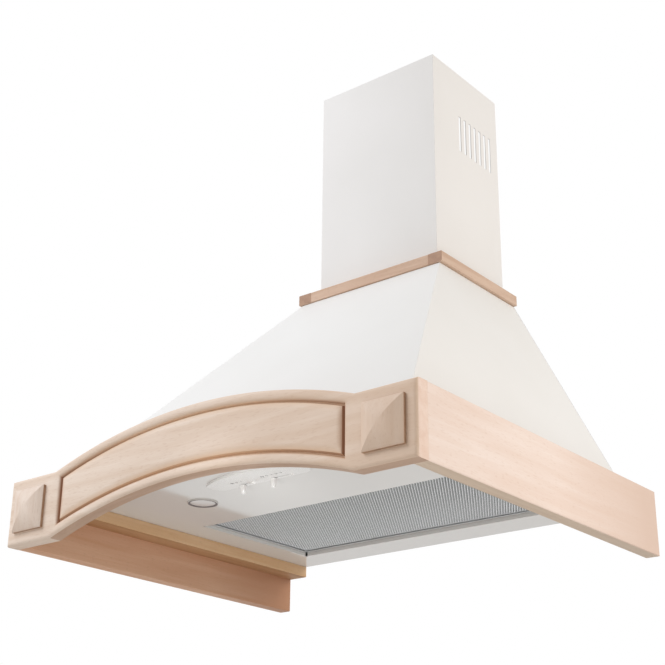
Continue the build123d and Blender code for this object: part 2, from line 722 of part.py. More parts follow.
def slide_switch(name):
    knob_x, travel = sliders[name]
    body = block(knob_x - SWITCH_END, knob_x + travel + SWITCH_END, slider_y - SWITCH_DEPTH / 2,
                 slider_y + SWITCH_DEPTH / 2, panel_top, panel_top + SWITCH_HEIGHT)
    body = fillet(body.edges().filter_by(Axis.Z), SWITCH_EDGE)
    body -= lens_bore(name, panel_top, panel_top + LENS_BULGE)
    return body - slider_slot(name, panel_top, panel_top + STEM_IN_SWITCH + SLOT_CLEARANCE)


def pilot_lens(name):
    stem_top = panel_top + LENS_BULGE / 2
    tip = plate_bottom - LENS_BULGE
    return turned([
        (0, tip), (LENS_RADIUS, tip), (LENS_RADIUS, plate_bottom),
        (LENS_STEM_RADIUS, plate_bottom), (LENS_STEM_RADIUS, stem_top), (0, stem_top),
    ], lens_x[name], slider_y)


pieces["control_plate"] = control_plate()
for slider_name in sliders:
    pieces[slider_name + "_knob"] = slider_knob(slider_name)
    pieces[slider_name + "_switch"] = slide_switch(slider_name)
    pieces[slider_name + "_lens"] = pilot_lens(slider_name)

# Outlet collar with two non-return flaps. Each flap swings up on its own axle and rests on a rolled bead.
axle_z = canopy_top + FLAP_HEIGHT
flap_radius = duct_bore - FLAP_CLEARANCE


def collar_axles(clearance):
    for side in (-1, 1):
        x = side * FLAP_AXLE_OFFSET
        reach = COLLAR_RADIUS - AXLE_END_INSET
        yield rod(x, duct_y - reach, axle_z, FLAP_AXLE_RADIUS + clearance, 2 * reach, (0, 1, 0))


def outlet_collar():
    flange = block(-FLANGE_HALF_X, FLANGE_HALF_X, duct_y - FLANGE_HALF_Y, duct_y + FLANGE_HALF_Y,
                   canopy_top, canopy_top + FLANGE_THICK)
    flange -= rod(0, duct_y, canopy_top, duct_bore, FLANGE_THICK)
    top = canopy_top + COLLAR_HEIGHT
    bead_top = axle_z - FLAP_THICK / 2 - FLAP_SEAT_GAP
    tube = turned([
        (duct_bore, canopy_top), (COLLAR_RADIUS, canopy_top), (COLLAR_RADIUS, top), (duct_bore, top),
        (duct_bore, bead_top), (duct_bore - COLLAR_BEAD, bead_top),
        (duct_bore - COLLAR_BEAD, bead_top - COLLAR_BEAD), (duct_bore, bead_top - COLLAR_BEAD),
    ], 0, duct_y)
    return tube + flange - list(collar_axles(AXLE_CLEARANCE))


def damper_flap():
    """The right-hand flap: half a disc with a knuckle along its straight edge."""
    disc = rod(0, duct_y, axle_z - FLAP_THICK / 2, flap_radius, FLAP_THICK)
    half = disc & block(FLAP_AXLE_OFFSET, COLLAR_RADIUS, duct_y - COLLAR_RADIUS, duct_y + COLLAR_RADIUS,
                        axle_z - FLAP_THICK, axle_z + FLAP_THICK)
    knuckle_half = sqrt((flap_radius - FLAP_CLEARANCE - COLLAR_BEAD) ** 2 - FLAP_AXLE_OFFSET ** 2)
    knuckle = rod(FLAP_AXLE_OFFSET, duct_y - knuckle_half, axle_z, FLAP_KNUCKLE_RADIUS,
                  2 * knuckle_half, (0, 1, 0))
    bore = rod(FLAP_AXLE_OFFSET, duct_y - COLLAR_RADIUS, axle_z, FLAP_AXLE_RADIUS + AXLE_CLEARANCE,
               2 * COLLAR_RADIUS, (0, 1, 0))
    return half + knuckle - bore


pieces["outlet_collar"] = outlet_collar()
pieces["damper_flap_right"] = damper_flap()
pieces["damper_flap_left"] = mirrored(pieces["damper_flap_right"])
pieces["damper_axles"] = group(collar_axles(0))

# Blower: a double-inlet wheel in a sheet-metal scroll whose outlet rises to the collar.
# The scroll is drawn with four arcs whose centres stand on the corners of a small square.
tongue_radius = FAN_RADIUS + SCROLL_TONGUE_GAP
fan_z = canopy_top - FAN_DROP
quarter = SCROLL_STEP / 2
tongue_y = -quarter + tongue_radius * cos(pi / 4)
outer_y = quarter + tongue_radius + 3 * SCROLL_STEP
fan_y = duct_y - (tongue_y + outer_y) / 2
outlet_top = canopy_top - SHEET
scroll_inner = FAN_WIDTH / 2 + SCROLL_SIDE_GAP
scroll_outer = scroll_inner + SCROLL_SIDE


def on_arc(centre, radius, turn):
    return centre[0] + radius * cos(turn), centre[1] + radius * sin(turn)


def quarter_arc(centre, radius, start, end):
    points = [on_arc(centre, radius, turn) for turn in (start, (start + end) / 2, end)]
    return ThreePointArc(*points)


def scroll_face(grow):
    """The scroll's side view about the fan's axis, in Y and Z, grown by a wall."""
    top = outlet_top - fan_z
    radii = [tongue_radius + step * SCROLL_STEP + grow for step in range(4)]
    centres = [(-quarter, quarter), (-quarter, -quarter), (quarter, -quarter), (quarter, quarter)]
    inner_y = tongue_y - grow
    tongue_z = centres[0][1] + sqrt(radii[0] ** 2 - (inner_y - centres[0][0]) ** 2)
    crest = on_arc(centres[0], radii[0], pi / 2)
    shoulder = on_arc(centres[0], radii[0], 3 * pi / 8)
    throat = on_arc(centres[3], radii[3], 0)
    return make_face([
        Line((inner_y, top), (inner_y, tongue_z)),
        ThreePointArc((inner_y, tongue_z), shoulder, crest),
        quarter_arc(centres[1], radii[1], pi / 2, pi),
        quarter_arc(centres[2], radii[2], pi, 3 * pi / 2),
        quarter_arc(centres[3], radii[3], 3 * pi / 2, 2 * pi),
        Polyline(throat, (throat[0], top), (inner_y, top)),
    ])


def scroll_slice(grow, x0, x1):
    start = Plane(origin=(x0, fan_y, fan_z), x_dir=(0, 1, 0), z_dir=(1, 0, 0))
    return extrude(start * scroll_face(grow), x1 - x0)


def scroll_wrap():
    air = scroll_slice(0, -scroll_inner, scroll_inner)
    return scroll_slice(SCROLL_WALL, -scroll_inner, scroll_inner) - air


def scroll_side():
    """The right side plate, with a short collar round the inlet that points at the wheel's eye."""
    plate = scroll_slice(SCROLL_WALL, scroll_inner, scroll_outer)
    start = scroll_inner - INLET_COLLAR
    length = scroll_outer - start
    collar = rod(start, fan_y, fan_z, FAN_EYE_RADIUS + SCROLL_SIDE, length, (1, 0, 0))
    return plate + collar - rod(start, fan_y, fan_z, FAN_EYE_RADIUS, length, (1, 0, 0))


def blower_flange():
    """The frame round the scroll's outlet that hangs the blower from the canopy's top."""
    frame = block(-FLANGE_HALF_X, FLANGE_HALF_X, duct_y - FLANGE_HALF_Y, duct_y + FLANGE_HALF_Y,
                  outlet_top - FLANGE_THICK, outlet_top)
    return frame - block(-scroll_outer, scroll_outer, fan_y + tongue_y - SCROLL_WALL,
                         fan_y + outer_y + SCROLL_WALL, outlet_top - FLANGE_THICK, outlet_top)


def fan_blade():
    """One forward-curved blade in section: a bent strip between the eye and the rim."""
    lead = radians(BLADE_SWEEP)
    foot = (FAN_EYE_RADIUS, 0)
    tip = (FAN_RADIUS * cos(lead), FAN_RADIUS * sin(lead))
    knee = ((foot[0] + tip[0]) / 2 + BLADE_BOW * sin(lead), (foot[1] + tip[1]) / 2 - BLADE_BOW * cos(lead))
    near_side = [foot, knee, tip]
    far_side = [(x, y + BLADE_THICK) for x, y in reversed(near_side)]
    return make_face(Polyline(*near_side, *far_side, close=True))


def ring(x, outer, inner, length):
    return rod(x, fan_y, fan_z, outer, length, (1, 0, 0)) - rod(x, fan_y, fan_z, inner, length, (1, 0, 0))


def impeller():
    half = FAN_WIDTH / 2
    rooted = half - FAN_RING / 2
    wheel_plane = Plane(origin=(-rooted, fan_y, fan_z), x_dir=(0, 1, 0), z_dir=(1, 0, 0))
    blades = PolarLocations(0, FAN_BLADES) * fan_blade()
    wheel = extrude(wheel_plane * Sketch(blades), 2 * rooted)
    rim = FAN_RADIUS + BLADE_THICK
    eye = FAN_EYE_RADIUS - BLADE_THICK
    wheel += ring(-half, rim, eye, FAN_RING)
    wheel += ring(half - FAN_RING, rim, eye, FAN_RING)
    wheel += rod(0, fan_y, fan_z, rim, FAN_DISC, (1, 0, 0))
    wheel += rod(0, fan_y, fan_z, HUB_RADIUS, HUB_LENGTH, (1, 0, 0))
    return wheel - rod(0, fan_y, fan_z, SHAFT_RADIUS + HUB_FIT, HUB_LENGTH, (1, 0, 0))


motor_front = -MOTOR_DISC_GAP


def motor_shaft(clearance):
    start = motor_front - SHAFT_IN_MOTOR - clearance
    return rod(start, fan_y, fan_z, SHAFT_RADIUS + clearance, HUB_LENGTH - start, (1, 0, 0))


def motor():
    back = motor_front - MOTOR_LENGTH
    can_length = MOTOR_LENGTH - 2 * MOTOR_BELL_LENGTH
    bells = rod(back, fan_y, fan_z, MOTOR_BELL_RADIUS, MOTOR_LENGTH, (1, 0, 0))
    can = rod(back + MOTOR_BELL_LENGTH, fan_y, fan_z, MOTOR_RADIUS, can_length, (1, 0, 0))
    return bells + can - motor_shaft(SHAFT_CLEARANCE)


def motor_bracket():
    """A three-armed plate on the left scroll side whose ring grips the motor."""
    bore = MOTOR_RADIUS + SPIDER_FIT
    back = -scroll_outer - SPIDER_THICK
    spider = rod(back, fan_y, fan_z, bore + SPIDER_RING, SPIDER_THICK, (1, 0, 0))
    reach = FAN_EYE_RADIUS + SPIDER_LAP
    arm = Pos(reach / 2, 0) * Rectangle(reach, SPIDER_ARM_WIDTH)
    arm_plane = Plane(origin=(back, fan_y, fan_z), x_dir=(0, 0, -1), z_dir=(1, 0, 0))
    arms = PolarLocations(0, SPIDER_ARMS) * arm
    spider += extrude(arm_plane * Sketch(arms), SPIDER_THICK)
    return spider - rod(back, fan_y, fan_z, bore, SPIDER_THICK, (1, 0, 0))


pieces["scroll_wrap"] = scroll_wrap()
pieces["scroll_side_right"] = scroll_side()
pieces["scroll_side_left"] = mirrored(pieces["scroll_side_right"])
pieces["blower_flange"] = blower_flange()
pieces["impeller"] = impeller()
pieces["motor_shaft"] = motor_shaft(0)
pieces["motor"] = motor()
pieces["motor_bracket"] = motor_bracket()


# Terminal box and lamp transformer on the inside of the back panel.
def electrical_box(x, width, depth, height):
    body = block(x - width / 2, x + width / 2, -SHEET - depth, -SHEET, BOX_BOTTOM, BOX_BOTTOM + height)
    front_edges = body.edges().group_by(Axis.Y)[0]
    return fillet(front_edges, BOX_EDGE)


pieces["terminal_box"] = electrical_box(BOX_X, BOX_WIDTH, BOX_DEPTH, BOX_HEIGHT)
pieces["lamp_transformer"] = electrical_box(-BOX_X, TRANSFORMER_WIDTH, TRANSFORMER_DEPTH, TRANSFORMER_HEIGHT)

os.makedirs("parts", exist_ok=True)
for piece_name, piece in pieces.items():
    export_step(Pos(0, 0, -HANG_HEIGHT) * piece, "parts/" + piece_name + ".step")
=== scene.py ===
import json
from math import cos, pi, radians, sin, sqrt, tau

import bmesh
import bpy
from mathutils import Matrix, Vector


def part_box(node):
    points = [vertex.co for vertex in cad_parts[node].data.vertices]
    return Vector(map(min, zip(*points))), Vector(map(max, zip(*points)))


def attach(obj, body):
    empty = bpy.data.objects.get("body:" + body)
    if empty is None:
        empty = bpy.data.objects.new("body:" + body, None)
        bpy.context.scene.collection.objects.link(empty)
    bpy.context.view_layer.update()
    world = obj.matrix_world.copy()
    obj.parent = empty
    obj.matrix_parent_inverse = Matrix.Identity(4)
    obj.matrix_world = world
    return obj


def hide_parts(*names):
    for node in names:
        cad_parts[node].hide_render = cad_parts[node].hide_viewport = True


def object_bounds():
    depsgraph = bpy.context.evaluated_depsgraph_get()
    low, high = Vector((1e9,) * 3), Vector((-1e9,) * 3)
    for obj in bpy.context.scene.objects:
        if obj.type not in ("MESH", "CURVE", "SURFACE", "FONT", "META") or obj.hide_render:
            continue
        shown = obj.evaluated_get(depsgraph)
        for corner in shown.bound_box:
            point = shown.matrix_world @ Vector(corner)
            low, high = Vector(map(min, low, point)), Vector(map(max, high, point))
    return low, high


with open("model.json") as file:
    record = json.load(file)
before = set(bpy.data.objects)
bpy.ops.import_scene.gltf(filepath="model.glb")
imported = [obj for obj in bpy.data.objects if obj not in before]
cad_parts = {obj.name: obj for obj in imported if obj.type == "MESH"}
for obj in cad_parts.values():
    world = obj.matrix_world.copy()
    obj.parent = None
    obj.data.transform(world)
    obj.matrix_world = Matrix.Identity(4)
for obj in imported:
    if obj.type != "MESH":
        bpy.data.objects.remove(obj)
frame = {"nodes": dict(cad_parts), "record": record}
cad_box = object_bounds()

# Back panel.
# A flat sheet of hot-dip galvanised steel that closes the canopy's open back against the wall. It is punched
# with the holes that the hood hangs and locks on.
MM = 0.001
SPANGLE = 9 * MM
ROLLING_MARK = 1.5 * MM
ROLLING_DEPTH = 0.05 * MM

# A Mix node has sockets for every kind of data. These are its share, its two colours and the mixed colour.
SHARE, FIRST, SECOND, MIXED = 0, 6, 7, 2


def linear(code):
    """Linear colour from an sRGB hex value."""
    parts = [int(code[start:start + 2], 16) / 255 for start in (1, 3, 5)]
    parts = [part / 12.92 if part <= 0.04045 else ((part + 0.055) / 1.055) ** 2.4 for part in parts]
    return (*parts, 1.0)


def add(tree, kind, inputs=None, **settings):
    """Adds a node with its settings. Each input gets a value, or a link from another node's output."""
    made = tree.nodes.new(kind)
    for name, value in settings.items():
        setattr(made, name, value)
    for key, value in (inputs or {}).items():
        if isinstance(value, bpy.types.NodeSocket):
            tree.links.new(value, made.inputs[key])
        else:
            made.inputs[key].default_value = value
    return made


def new_finish(name):
    """A new material, its node tree, and the places on the piece that its patterns follow."""
    finish = bpy.data.materials.new(name)
    finish.use_nodes = True
    tree = finish.node_tree
    tree.nodes.clear()
    return finish, tree, add(tree, "ShaderNodeTexCoord").outputs["Object"]


def galvanised_steel(name, pale, dark):
    """Hot-dip zinc: crystals of slightly different greys and gloss give a mottled, dull metal sheen."""
    finish, tree, place = new_finish(name)
    crystal = add(tree, "ShaderNodeTexVoronoi", {"Vector": place, "Scale": 1 / SPANGLE})
    grey = add(tree, "ShaderNodeSeparateColor", {"Color": crystal.outputs["Color"]}).outputs["Red"]
    tint = add(tree, "ShaderNodeMix", {
        SHARE: grey, FIRST: linear(pale), SECOND: linear(dark)}, data_type="RGBA")
    gloss = add(tree, "ShaderNodeMapRange", {"Value": grey, "To Min": 0.34, "To Max": 0.52})
    rolled = add(tree, "ShaderNodeTexNoise", {"Vector": place, "Scale": 1 / ROLLING_MARK, "Detail": 3.0})
    relief = add(tree, "ShaderNodeBump", {
        "Height": rolled.outputs[0], "Strength": 0.06, "Distance": ROLLING_DEPTH})
    shader = add(tree, "ShaderNodeBsdfPrincipled", {
        "Base Color": tint.outputs[MIXED], "Metallic": 1.0, "Roughness": gloss.outputs["Result"],
        "Normal": relief.outputs["Normal"]})
    add(tree, "ShaderNodeOutputMaterial", {"Surface": shader.outputs["BSDF"]})
    return finish


def dress(finish, *nodes):
    """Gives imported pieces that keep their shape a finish."""
    for node in nodes:
        mesh = frame["nodes"][node].data
        mesh.materials.clear()
        mesh.materials.append(finish)


zinc = galvanised_steel("galvanised_steel", "#c0c3c4", "#b0b3b5")
dress(zinc, "back_panel")

# Canopy.
# One sheet of steel folded into a front and two sloping sides, with a turned-in foot and a flat top. It is
# sprayed and baked in a white polyester lacquer that runs round the soft folds.
FOLD_RADIUS = 1.6 * MM
FOLD_SEGMENTS = 3
FOLD_ANGLE = 12
SHORTEST_FOLD = 5 * MM
SHEET_EDGE = 3 * MM
SAME_POINT = 0.004 * MM
FLAT_ANGLE = 0.6
CREASE_ANGLE = 30
ORANGE_PEEL = 2.2 * MM
PEEL_DEPTH = 0.03 * MM
LACQUER_DRIFT = 120 * MM

# Nearly all of a noise pattern lies between these two values.
NOISE_LOW, NOISE_HIGH = 0.3, 0.7

scene = bpy.context.scene
body_of = {node: body for body, nodes in frame["record"]["behaviour"]["bodies"].items() for node in nodes}


def white_lacquer(name, code, shade, smoothest, roughest):
    """Baked lacquer: a milky white that drifts a little, with a soft sheen and faint orange peel."""
    finish, tree, place = new_finish(name)
    drift = add(tree, "ShaderNodeTexNoise", {"Vector": place, "Scale": 1 / LACQUER_DRIFT, "Detail": 2.0})
    tint = add(tree, "ShaderNodeMix", {
        SHARE: drift.outputs[0], FIRST: linear(code), SECOND: linear(shade)}, data_type="RGBA")
    gloss = add(tree, "ShaderNodeMapRange", {
        "Value": drift.outputs[0], "From Min": NOISE_LOW, "From Max": NOISE_HIGH,
        "To Min": smoothest, "To Max": roughest})
    peel = add(tree, "ShaderNodeTexNoise", {"Vector": place, "Scale": 1 / ORANGE_PEEL, "Detail": 1.0})
    relief = add(tree, "ShaderNodeBump", {
        "Height": peel.outputs[0], "Strength": 0.05, "Distance": PEEL_DEPTH})
    shader = add(tree, "ShaderNodeBsdfPrincipled", {
        "Base Color": tint.outputs[MIXED], "Roughness": gloss.outputs["Result"], "IOR": 1.5,
        "Normal": relief.outputs["Normal"]})
    add(tree, "ShaderNodeOutputMaterial", {"Surface": shader.outputs["BSDF"]})
    return finish


def show(name, mesh, body, replaced=()):
    """Puts a finished mesh in the scene, on the body that it moves with."""
    piece = bpy.data.objects.new(name, mesh)
    scene.collection.objects.link(piece)
    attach(piece, body)
    if replaced:
        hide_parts(*replaced)
    return piece


def mesh_of(form, name, *finishes):
    """Turns a form into a mesh that carries its finishes."""
    mesh = bpy.data.meshes.new(name)
    form.to_mesh(mesh)
    form.free()
    for finish in finishes:
        mesh.materials.append(finish)
    return mesh


def smooth_faces(mesh, crease):
    """Shades a mesh smooth, with every edge above the crease angle, in degrees, kept sharp."""
    mesh.polygons.foreach_set("use_smooth", [True] * len(mesh.polygons))
    mesh.set_sharp_from_angle(angle=radians(crease))
    mesh.update()


def softened(node, finish, radius, segments=FOLD_SEGMENTS, thinnest=SHEET_EDGE, shortest=SHORTEST_FOLD):
    """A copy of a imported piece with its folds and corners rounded. Thin rims and small holes stay crisp."""
    form = bmesh.new()
    form.from_mesh(frame["nodes"][node].data)
    bmesh.ops.remove_doubles(form, verts=form.verts, dist=SAME_POINT)
    bmesh.ops.dissolve_limit(form, angle_limit=radians(FLAT_ANGLE), verts=form.verts, edges=form.edges)
    folds = []
    for edge in form.edges:
        if not edge.is_manifold or edge.calc_length() < shortest:
            continue
        narrowest = min(face.calc_area() for face in edge.link_faces) / edge.calc_length()
        if narrowest > thinnest and edge.calc_face_angle() > radians(FOLD_ANGLE):
            folds.append(edge)
    bmesh.ops.bevel(form, geom=folds, offset=radius, segments=segments, profile=0.5, affect="EDGES",
                    clamp_overlap=True)
    mesh = mesh_of(form, node + "_rounded", finish)
    smooth_faces(mesh, CREASE_ANGLE)
    return show(node + "_rounded", mesh, body_of[node], [node])


satin_white = white_lacquer("satin_white_lacquer", "#f3f3f2", "#efefed", 0.52, 0.60)
softened("canopy_shell", satin_white, FOLD_RADIUS)

# Blower.
# A scroll of folded galvanised sheet hangs under the canopy's top on a flange. A three-armed bracket holds
# the painted motor, whose bright shaft carries the moulded wheel.
CASTING_GRIT = 0.8 * MM
CASTING_DEPTH = 0.1 * MM
MOULDED_DEPTH = 0.05 * MM
COAT_SWING = 0.05
TURNING_MARK = 0.5 * MM
TURNING_DEPTH = 0.03 * MM
METAL_SWING = 0.07


def matt_coat(name, code, shade, roughness, depth, bend=1.48):
    """A paint, rubber or moulding: one colour with a fine, even grain that scatters light. The grain is drawn
    several times coarser than real so that it shows."""
    finish, tree, place = new_finish(name)
    grain = add(tree, "ShaderNodeTexNoise", {"Vector": place, "Scale": 1 / CASTING_GRIT, "Detail": 2.0})
    tint = add(tree, "ShaderNodeMix", {
        SHARE: grain.outputs[0], FIRST: linear(code), SECOND: linear(shade)}, data_type="RGBA")
    gloss = add(tree, "ShaderNodeMapRange", {
        "Value": grain.outputs[0], "From Min": NOISE_LOW, "From Max": NOISE_HIGH,
        "To Min": roughness - COAT_SWING, "To Max": roughness + COAT_SWING})
    relief = add(tree, "ShaderNodeBump", {"Height": grain.outputs[0], "Strength": 0.25, "Distance": depth})
    shader = add(tree, "ShaderNodeBsdfPrincipled", {
        "Base Color": tint.outputs[MIXED], "Roughness": gloss.outputs["Result"], "IOR": bend,
        "Normal": relief.outputs["Normal"]})
    add(tree, "ShaderNodeOutputMaterial", {"Surface": shader.outputs["BSDF"]})
    return finish


def bright_metal(name, code, shade, roughness, mark=TURNING_MARK, stretch=(1, 1, 1)):
    """Drawn, turned or rolled metal: a clear mirror tint broken up by fine marks, which may run one way. The
    marks are drawn several times coarser than real so that they show."""
    finish, tree, place = new_finish(name)
    drawn = add(tree, "ShaderNodeMapping", {"Vector": place, "Scale": stretch})
    marks = add(tree, "ShaderNodeTexNoise", {"Vector": drawn.outputs[0], "Scale": 1 / mark, "Detail": 3.0})
    tint = add(tree, "ShaderNodeMix", {
        SHARE: marks.outputs[0], FIRST: linear(code), SECOND: linear(shade)}, data_type="RGBA")
    gloss = add(tree, "ShaderNodeMapRange", {
        "Value": marks.outputs[0], "From Min": NOISE_LOW, "From Max": NOISE_HIGH,
        "To Min": roughness - METAL_SWING, "To Max": roughness + METAL_SWING})
    relief = add(tree, "ShaderNodeBump", {
        "Height": marks.outputs[0], "Strength": 0.1, "Distance": TURNING_DEPTH})
    shader = add(tree, "ShaderNodeBsdfPrincipled", {
        "Base Color": tint.outputs[MIXED], "Metallic": 1.0, "Roughness": gloss.outputs["Result"],
        "Normal": relief.outputs["Normal"]})
    add(tree, "ShaderNodeOutputMaterial", {"Surface": shader.outputs["BSDF"]})
    return finish


dress(zinc, "scroll_wrap", "scroll_side_left", "scroll_side_right", "blower_flange", "motor_bracket")
# Stove paint over a casting: near black and half matt, with the grit of the casting under it.
dress(matt_coat("motor_stove_paint", "#3a3d40", "#2e3134", 0.5, CASTING_DEPTH), "motor")
# Drawn steel: a cool, clear mirror that is only a little blurred.
bright_steel = bright_metal("bright_drawn_steel", "#d0d1d2", "#b4b6b8", 0.28)
dress(bright_steel, "motor_shaft")
# Moulded polypropylene: a middle grey with a dull, even sheen.
grey_moulding = matt_coat("grey_polypropylene", "#6d7073", "#64676a", 0.5, MOULDED_DEPTH)
dress(grey_moulding, "impeller")

# Outlet collar.
# A black moulded collar takes the duct. Two grey flaps hang on bright axles inside it and drop shut when
# the fan stops. A rubber grommet beside it lines the hole for the supply lead.

# Moulded ABS: deep black with a soft highlight. The rubber is as dark, and much duller.
black_moulding = matt_coat("black_abs", "#1d1e20", "#27282a", 0.45, MOULDED_DEPTH)
black_rubber = matt_coat("black_rubber", "#161617", "#1f1f20", 0.75, MOULDED_DEPTH)
dress(black_moulding, "outlet_collar")
dress(grey_moulding, "damper_flap_left", "damper_flap_right")
dress(bright_steel, "damper_axles")
dress(black_rubber, "cable_grommet")

# Electrical boxes.
# Two boxes moulded in black ABS stand on the inside of the back panel: the terminal box for the supply lead,
# and the transformer for the lamps.
dress(black_moulding, "terminal_box", "lamp_transformer")

# Lower panel.
# The flat sheet under the body, lacquered glossier than the outside so that grease wipes off. The filter's
# cut-out has an upturned lip, and holes are punched for the lamps and the sliders.
PANEL_FOLD = 1.0 * MM
gloss_white = white_lacquer("gloss_white_lacquer", "#e9e8e6", "#e4e3e0", 0.07, 0.12)
softened("lower_panel", gloss_white, PANEL_FOLD)

# Lamps.
# A pressed trim ring is pushed up through the panel, and a reflector bulb with a frosted front rests on its
# inner ledge and plugs into a ceramic socket. The ring's face inside its lip is painted dark grey as shade.
LAMP_STEPS = 72
TURNED_CREASE = 40
ROUND_STEPS = 4
RING_EDGE = 0.5 * MM
RING_FACE = 3.0 * MM
RING_LIP = 0.55 * MM
TUBE_INSET = 1.4 * MM
GLASS_GAP = 0.2 * MM
GLASS_DOME = 0.9 * MM
GLASS_DOME_STEPS = 5
GLASS_RIM = 2.5 * MM
GLASS_ETCH = 0.9 * MM
BULB_NECK = 6 * MM
NECK_LENGTH = 3 * MM


def lathe(name, profile, centre, steps, finishes, dark_inside=0):
    """Turns a list of radius and height pairs about an upright axis into a closed mesh. Faces nearer to the
    axis than dark_inside get the second finish."""
    form = bmesh.new()
    rings = []
    for radius, height in profile:
        if radius == 0:
            rings.append([form.verts.new((centre.x, centre.y, height))])
            continue
        turns = [tau * step / steps for step in range(steps)]
        rings.append([form.verts.new((centre.x + radius * cos(turn), centre.y + radius * sin(turn), height))
                      for turn in turns])
    pairs = list(zip(rings, rings[1:]))
    if profile[0][0] and profile[-1][0]:
        pairs.append((rings[-1], rings[0]))
    for low, high in pairs:
        for step in range(steps):
            ahead = (step + 1) % steps
            corners = [low[step % len(low)], low[ahead % len(low)],
                       high[ahead % len(high)], high[step % len(high)]]
            form.faces.new(list(dict.fromkeys(corners)))
    bmesh.ops.recalc_face_normals(form, faces=form.faces)
    for face in form.faces:
        middle = face.calc_center_median()
        reach = sqrt((middle.x - centre.x) ** 2 + (middle.y - centre.y) ** 2)
        face.material_index = 1 if reach < dark_inside else 0
    mesh = mesh_of(form, name, *finishes)
    smooth_faces(mesh, TURNED_CREASE)
    return mesh


def quarter(steps):
    """Even angles through a quarter turn."""
    return [pi / 2 * step / steps for step in range(steps + 1)]


def rounded(radius, height, edge, turn_out, turn_up):
    """Points round a small quarter-circle edge whose sharp corner would be at a radius and height."""
    return [(radius + turn_out * edge * (sin(turn) - 1), height + turn_up * edge * (cos(turn) - 1))
            for turn in quarter(ROUND_STEPS)]


def domed(radius, height, bulge, steps):
    """Points of a shallow dome that hangs below a height, from its lowest point out to its rim."""
    return [(radius * sin(turn), height - bulge * cos(turn)) for turn in quarter(steps)]


def frosted_glass(name):
    """Pressed glass with an etched front: milky, half clear, catching a soft highlight. The etching is drawn
    many times coarser than real so that it shows."""
    finish, tree, place = new_finish(name)
    etch = add(tree, "ShaderNodeTexNoise", {"Vector": place, "Scale": 1 / GLASS_ETCH, "Detail": 2.0})
    gloss = add(tree, "ShaderNodeMapRange", {"Value": etch.outputs[0], "To Min": 0.12, "To Max": 0.32})
    shader = add(tree, "ShaderNodeBsdfPrincipled", {
        "Base Color": linear("#f6f3f2"), "Roughness": gloss.outputs["Result"], "IOR": 1.5,
        "Transmission Weight": 0.15})
    add(tree, "ShaderNodeOutputMaterial", {"Surface": shader.outputs["BSDF"]})
    return finish


# Lacquer on the ring's lip: white and half glossy. Inside the lip it is painted dull dark grey as shade.
ring_white = white_lacquer("lamp_ring_lacquer", "#dddbd7", "#d6d4cf", 0.18, 0.26)
ring_painted_shade = matt_coat("lamp_ring_painted_shade", "#878080", "#7a7372", 0.6, MOULDED_DEPTH)
lamp_glass = frosted_glass("etched_lamp_glass")
# Fired ceramic without a glaze: chalky, warm and quite matt.
ceramic = matt_coat("unglazed_ceramic", "#e2ddd2", "#d8d2c6", 0.7, MOULDED_DEPTH)
panel_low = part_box("lower_panel")[0].z
for side in ("left", "right"):
    ring_low, ring_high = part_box("lamp_ring_" + side)
    bulb_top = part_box("lamp_bulb_" + side)[1].z
    middle = (ring_low + ring_high) / 2
    outer = (ring_high.x - ring_low.x) / 2
    tube = outer - TUBE_INSET
    mouth = outer - RING_FACE
    ring_profile = [(tube, ring_high.z), (tube, panel_low), (outer, panel_low)]
    ring_profile += rounded(outer, ring_low.z, RING_EDGE, 1, -1)[::-1]
    ring_profile += rounded(mouth, ring_low.z, RING_EDGE, -1, -1)
    ring_profile += [(mouth, ring_high.z)]
    # Faces inside the lip get the painted shade.
    ring_mesh = lathe("lamp_trim_" + side, ring_profile, middle, LAMP_STEPS, [ring_white, ring_painted_shade],
                      outer - RING_LIP)
    show("lamp_trim_" + side, ring_mesh, "hood", ["lamp_ring_" + side])
    rim = mouth - GLASS_GAP
    glass_low = ring_low.z + GLASS_DOME
    bulb_profile = domed(rim, glass_low, GLASS_DOME, GLASS_DOME_STEPS)
    bulb_profile += [(rim, glass_low + GLASS_RIM), (BULB_NECK, bulb_top - NECK_LENGTH),
                     (BULB_NECK, bulb_top), (0, bulb_top)]
    bulb_mesh = lathe("lamp_bulb_glass_" + side, bulb_profile, middle, LAMP_STEPS, [lamp_glass])
    show("lamp_bulb_glass_" + side, bulb_mesh, "hood", ["lamp_bulb_" + side])
    dress(ceramic, "lamp_socket_" + side)

# Controls.
# A lens-shaped plate of white moulded plastic under the panel, two slide switches above it, their tapered
# knobs, and a small milky lens at the end of each slot. Plain signs and numbers are printed beside the slots.
PLATE_EDGE = 0.9 * MM
PLATE_DETAIL = 1.5 * MM
PLATE_GRAIN = 0.004 * MM
POLISHED_GRAIN = 0.01 * MM
POLISHED_BEND = 2.1
KNOB_EDGE = 1.5 * MM
KNOB_DETAIL = 2 * MM
KNOB_SEGMENTS = 5
KNOB_SHORTENED = 0.88
LENS_STEPS = 32
LENS_DOME_STEPS = 6
LENS_STEM = 0.7
PRINT_LIFT = 0.03 * MM
PRINT_HEIGHT = 5.2 * MM
MARK_ROW = -391 * MM
SLIDE_STEP = 7 * MM
LAMP_DISC = 1.3 * MM
LAMP_DISC_SIDES = 16
LAMP_RAYS = 8
RAY_START = 1.8 * MM
RAY_END = 2.7 * MM
RAY_HALF = 0.3 * MM
FAN_BLADES = 4
BLADE_SIDES = 10
BLADE_OUT = 1.6 * MM
BLADE_ASIDE = 0.4 * MM
BLADE_LONG = 1.1 * MM
BLADE_WIDE = 0.7 * MM

